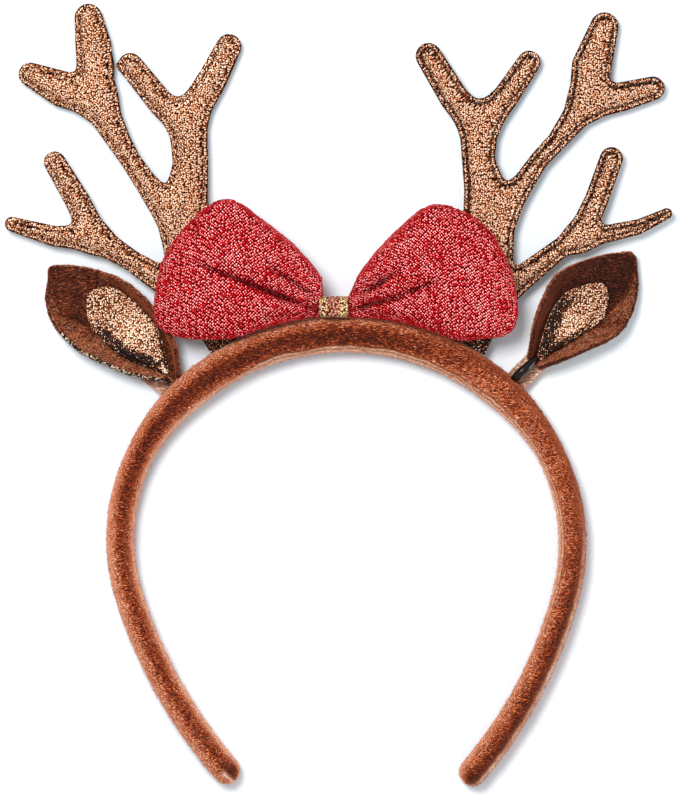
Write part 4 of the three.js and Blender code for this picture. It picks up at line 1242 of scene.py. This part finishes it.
# Ears: felt leaves cupped by their stitched root, each with a smaller glitter leaf inside
ears = {
    "left": {
        "root": (-51.8, -14.4),
        "heading": 142.9,
        "upperTurn": -1,
        "creases": ((-74.7, 19.6, -74.7, 13.2, 0.8, 0.5), (-85.8, 5.7, -77, 3.4, 0.6, 0.9)),
        "litSide": (0.5, 0.87),  # the way that the sides painted lighter face
        "nap": (-0.2, 1),  # and the painted light and shade's base and gain
        "fuzzSeed": 27,
        "speckled": 36,  # the dark glitter shows along the lower edge, as far as this
        "liningMiddle": ((2.6, 14, 26, 36.2), (0.4, 3.3, 4.8, 6)),
        # sides of the glitter leaf painted dark as shade: which side, inset from and to, and where along they
        # fade
        "walls": ((-1, 2.4, 4.4, 20, 31), (1, 0.5, 1.2, 10, 18)),
        "patch": (19, 5.5, 8),  # painted highlight's brightest place: along, across and size
    },
    "right": {
        "root": (56.1, -9.3),
        "heading": 45,
        "upperTurn": 1,
        "creases": ((88, 4, 76, 2.5, 0.4, 1.1),),
        "litSide": (-0.6, 0.8),
        "nap": (-1.05, 1.85),
        "fuzzSeed": 28,
        "speckled": None,
        "liningMiddle": ((2.4, 14, 22, 32.2), (0.1, 1.2, 1.4, 1.6)),
        "walls": ((1, 2.2, 4.4, 17, 25), (-1, 1.2, 2.6, 14, 22)),
        "patch": (17, -0.5, 7),
    },
}
earShape = {
    "voxel": 0.45,
    "liningVoxel": 0.35,
    "tabVoxel": 0.4,
    "outlineStep": 0.3,
    "lump": 0.1,
    "lumpSize": 3,
    "speckleInset": 1.5,
    "underside": -0.3,  # faces that look further down than this have the dark glitter
    "liningBack": -0.1,
    "litFacing": (0.05, 0.5),
    "creaseShading": 0.8,
    "rim": 0.3,
    "rootBright": (3.5, 5.5),
}
earFelt = {
    "strand": 0.28,
    "cloud": 5,
    "clouded": 0.12,
    "tones": [
        (0.5, "#1a0602"),
        (0.54, "#341006"),
        (0.57, "#4f2010"),
        (0.6, "#6c2c15"),
        (0.64, "#954926"),
        (0.7, "#cc8a60"),
    ],
    "shadingLift": 0.045,
    "masks": {},
    "bump": 0.8,
    "sheen": 0.9,
    "sheenRoughness": 0.4,
    "sheenTint": "#ff7a48",
}
earFuzz = {**hoopFuzz, "count": 7000, "length": (0.5, 1.5), "lift": (0.05, 0.35)}
earFibre = [(0.0, "#1a0602"), (0.5, "#4a1e0e"), (0.85, "#965636"), (1.0, "#d9a684")]
paleGoldGlitter = {
    **copperGlitter,
    "dullest": 0.38,
    "cloud": 7,
    "drift": 0.2,
    # painted shade on the cup's walls, a painted highlight in its middle and at its root, and painted light
    # along the rim
    "masks": {"wallShade": 3.5, "brightPatch": -0.4, "rimLight": -0.6},
    "tones": [
        (0.0, "#140703"),
        (0.14, "#220e06"),
        (0.44, "#8c4824"),
        (0.52, "#8e4c28"),
        (0.61, "#f6b684"),
        (0.8, "#fff0d8"),
    ],
}
darkGlitter = {
    "flake": 0.45,
    "jitter": 0.75,
    "dullest": 0,
    "flat": (0.3, 0.65),
    "cloud": 6,
    "drift": 0.2,
    "tilt": 0.7,
    "metallic": 0.5,
    "masks": {},
    "tones": [(0.0, "#120b08"), (0.3, "#3a2419"), (0.5, "#7a5238"), (0.68, "#d9b893"), (0.85, "#fff4e6")],
}
tabFelt = {
    "strand": 0.34,
    "cloud": 4,
    "clouded": 0.2,
    "tones": [(0.5, "#8e563e"), (0.55, "#bc8c72"), (0.6, "#d4aa94"), (0.68, "#f6dece")],
    "shadingLift": 0,
    "masks": {},
    "bump": 0.6,
    "sheen": 0.5,
    "sheenRoughness": 0.4,
    "sheenTint": "#ffc09a",
}
tabFuzz = {**earFuzz, "seed": 31, "count": 900, "length": (0.6, 1.6)}
tabFibre = [(0.0, "#8a4c30"), (0.6, "#c98f6c"), (1.0, "#f3d8c4")]


# Black backing cloth of the glitter leaves: a tight weave with a waxy face, worn pale on its high spots
backingCloth = {
    "grain": 0.4,
    "detail": 2,
    "tones": [(0.35, "#0b0807"), (0.62, "#241a16"), (0.8, "#8f8378")],
    "surface": {"Roughness": 0.6, "Specular IOR Level": 0.25},
}


def alongEar(points, ear):
    heading = math.radians(ear["heading"])
    axis = np.array((math.cos(heading), math.sin(heading)))
    upper = ear["upperTurn"] * np.array((-axis[1], axis[0]))
    run = points[:, :2] - ear["root"]
    return run @ axis, run @ upper


# A cupped leaf's mesh from its solid, and what finds the nearest place on its outline
def leafMesh(node, voxel, rounds):
    cad, cadFaces = cadMesh(node)
    outline = evenLoop(cad[faceLoops(cad, cadFaces, 1)[0]][:, :2], earShape["outlineStep"])
    points, faces = remeshed(cad, cadFaces, voxel)
    return relaxed(points, faces, rounds), faces, nearestOf(outline)


def buildLeaf(side, ear, looks):
    node = f"ear_{side}_felt"
    points, faces, nearest = leafMesh(node, earShape["voxel"], 4)
    normals = pointNormals(points, faces)
    points = points + normals * (earShape["lump"] * lumps(points, earShape["lumpSize"], 5))[:, None]
    creased = np.zeros(len(points))
    for x, y, toX, toY, depth, width in ear["creases"]:
        press = bell(lineDistance(points[:, :2], (x, y), (toX, toY))[0], width) * (normals[:, 2] > 0)
        points[:, 2] -= depth * press
        creased = np.maximum(creased, press)
    inset = nearest(points[:, :2])[:, 1]
    along, offset = alongEar(points, ear)
    fabrics = [looks["felt"], looks["dark"]]
    piece = newPiece(f"ear_{side}_leaf", points, faces, fabrics, [node])
    inset, along, offset, up = (values[faces].mean(1) for values in (inset, along, offset, normals[:, 2]))
    speckled = up < earShape["underside"]
    if ear["speckled"]:
        speckled |= (inset < earShape["speckleInset"]) & (offset < 0) & (along < ear["speckled"])
    piece.data.polygons.foreach_set("material_index", speckled.astype(np.int32))
    # painted light and shade: lighter on the sides that face one way, painted shade in the pressed creases
    facingLight = ease(normals[:, :2] @ ear["litSide"], *earShape["litFacing"])
    nap = ear["nap"][0] + ear["nap"][1] * facingLight - earShape["creaseShading"] * creased
    addMask(piece, "nap", nap)
    look = {**earFuzz, "seed": ear["fuzzSeed"]}
    fuzz = feltFuzz(f"ear_{side}_fuzz", points, faces[~speckled], look, looks["fibre"], nap)


def buildLining(side, ear, looks):
    node = f"ear_{side}_lining"
    points, faces, nearest = leafMesh(node, earShape["liningVoxel"], 3)
    normals = pointNormals(points, faces)
    fabrics = [looks["gold"], looks["backing"]]
    piece = newPiece(f"ear_{side}_glitter", points, faces, fabrics, [node])
    inset = nearest(points[:, :2])[:, 1]
    along, offset = alongEar(points, ear)
    middle = np.interp(along, *ear["liningMiddle"])
    wall = np.zeros(len(points))
    for way, start, end, fade, gone in ear["walls"]:
        dark = (1 - ease(inset, start, end)) * (1 - ease(along, fade, gone))
        wall = np.maximum(wall, (way * (offset - middle) > 0) * dark)
    rim = bell(inset, earShape["rim"])
    patchAlong, patchAcross, patchSize = ear["patch"]
    bright = bell(np.hypot(along - patchAlong, offset - patchAcross), patchSize)
    # painted shade on the walls, painted highlight in the middle and at the root, painted light along the rim
    addMask(piece, "wallShade", wall * (1 - rim))
    addMask(piece, "brightPatch", np.maximum(bright, 1 - ease(along, *earShape["rootBright"])))
    addMask(piece, "rimLight", rim * wall)
    back = normals[:, 2][faces].mean(1) < earShape["liningBack"]
    piece.data.polygons.foreach_set("material_index", back.astype(np.int32))


def buildTab(side, looks):
    points, faces = remeshed(*cadMesh(f"ear_{side}_tab"), earShape["tabVoxel"])
    points = relaxed(points, faces, 5)
    newPiece(f"ear_{side}_strip", points, faces, [looks["tab"]], [f"ear_{side}_tab"])
    feltFuzz(f"ear_{side}_strip_fuzz", points, faces, tabFuzz, looks["tabFibre"])


earLooks = {
    "felt": needledFelt("brownFelt", earFelt),
    "dark": glitterFabric("darkGlitterFabric", darkGlitter),
    "gold": glitterFabric("paleGoldGlitterFabric", paleGoldGlitter),
    "backing": grainedFinish("blackBackingCloth", backingCloth),
    "fibre": looseFibre("brownFibre", earFibre, "#ff9060"),
    "tab": needledFelt("tanFelt", tabFelt),
    "tabFibre": looseFibre("tanFibre", tabFibre, "#ffd8c0"),
}
for side, ear in ears.items():
    buildLeaf(side, ear, earLooks)
    buildLining(side, ear, earLooks)
    buildTab(side, earLooks)
print("ears built")


# Cord that ties the right ear's root to the hoop, thickest where it is knotted
cord = {
    "path": (
        (50, -14, 7.2),
        (51.2, -12.7, 8.1),
        (53, -11, 8.5),
        (54.6, -9.5, 8.3),
        (56, -8.2, 7.8),
        (57, -7.3, 7.1),
    ),
    "radius": (1.1, 1.4, 1.45, 1.3, 1.15, 0.8),
    "steps": 24,
    "around": 18,
    "lump": 0.12,
    "lumpSize": 1.6,
}
# Waxed cotton: black and glossy, with its twist showing as small dents
waxedCotton = {
    "grain": 0.7,
    "detail": 2,
    "tones": [(0.35, "#0a0503"), (0.7, "#1a0e08")],
    "surface": {"Roughness": 0.16, "IOR": 1.5, "Specular IOR Level": 0.3},
    "bump": 0.25,
    "relief": 0.2,
}


def buildCord():
    rows, count = np.array(cord["path"]), cord["around"]
    at = np.linspace(0, len(rows) - 1, cord["steps"])
    line = np.stack([np.interp(at, np.arange(len(rows)), rows[:, k]) for k in range(3)], axis=1)
    for _ in range(3):
        line[1:-1] = (line[:-2] + 2 * line[1:-1] + line[2:]) / 4
    thick = np.interp(at, np.arange(len(rows)), cord["radius"])
    heading = unit(np.gradient(line, axis=0))
    aside = unit(np.cross(heading, (0, 0, 1)))
    above = np.cross(aside, heading)
    turn = np.linspace(0, 2 * math.pi, count, endpoint=False)
    rings = [
        c + r * (np.cos(turn)[:, None] * s + np.sin(turn)[:, None] * u)
        for c, r, s, u in zip(line, thick, aside, above)
    ]
    points = np.vstack(rings)
    faces = tubeFaces(len(rings), count)
    faces += [tuple(range(count))[::-1], tuple(range(len(points) - count, len(points)))]
    outwards = unit(points - np.repeat(line, count, axis=0))
    points = points + outwards * (cord["lump"] * lumps(points, cord["lumpSize"], 8))[:, None]
    wax = grainedFinish("blackWaxedCord", waxedCotton)
    newPiece("ear_right_cord", points, faces, [wax], ["ear_right_stem"])


buildCord()
print("cord built")
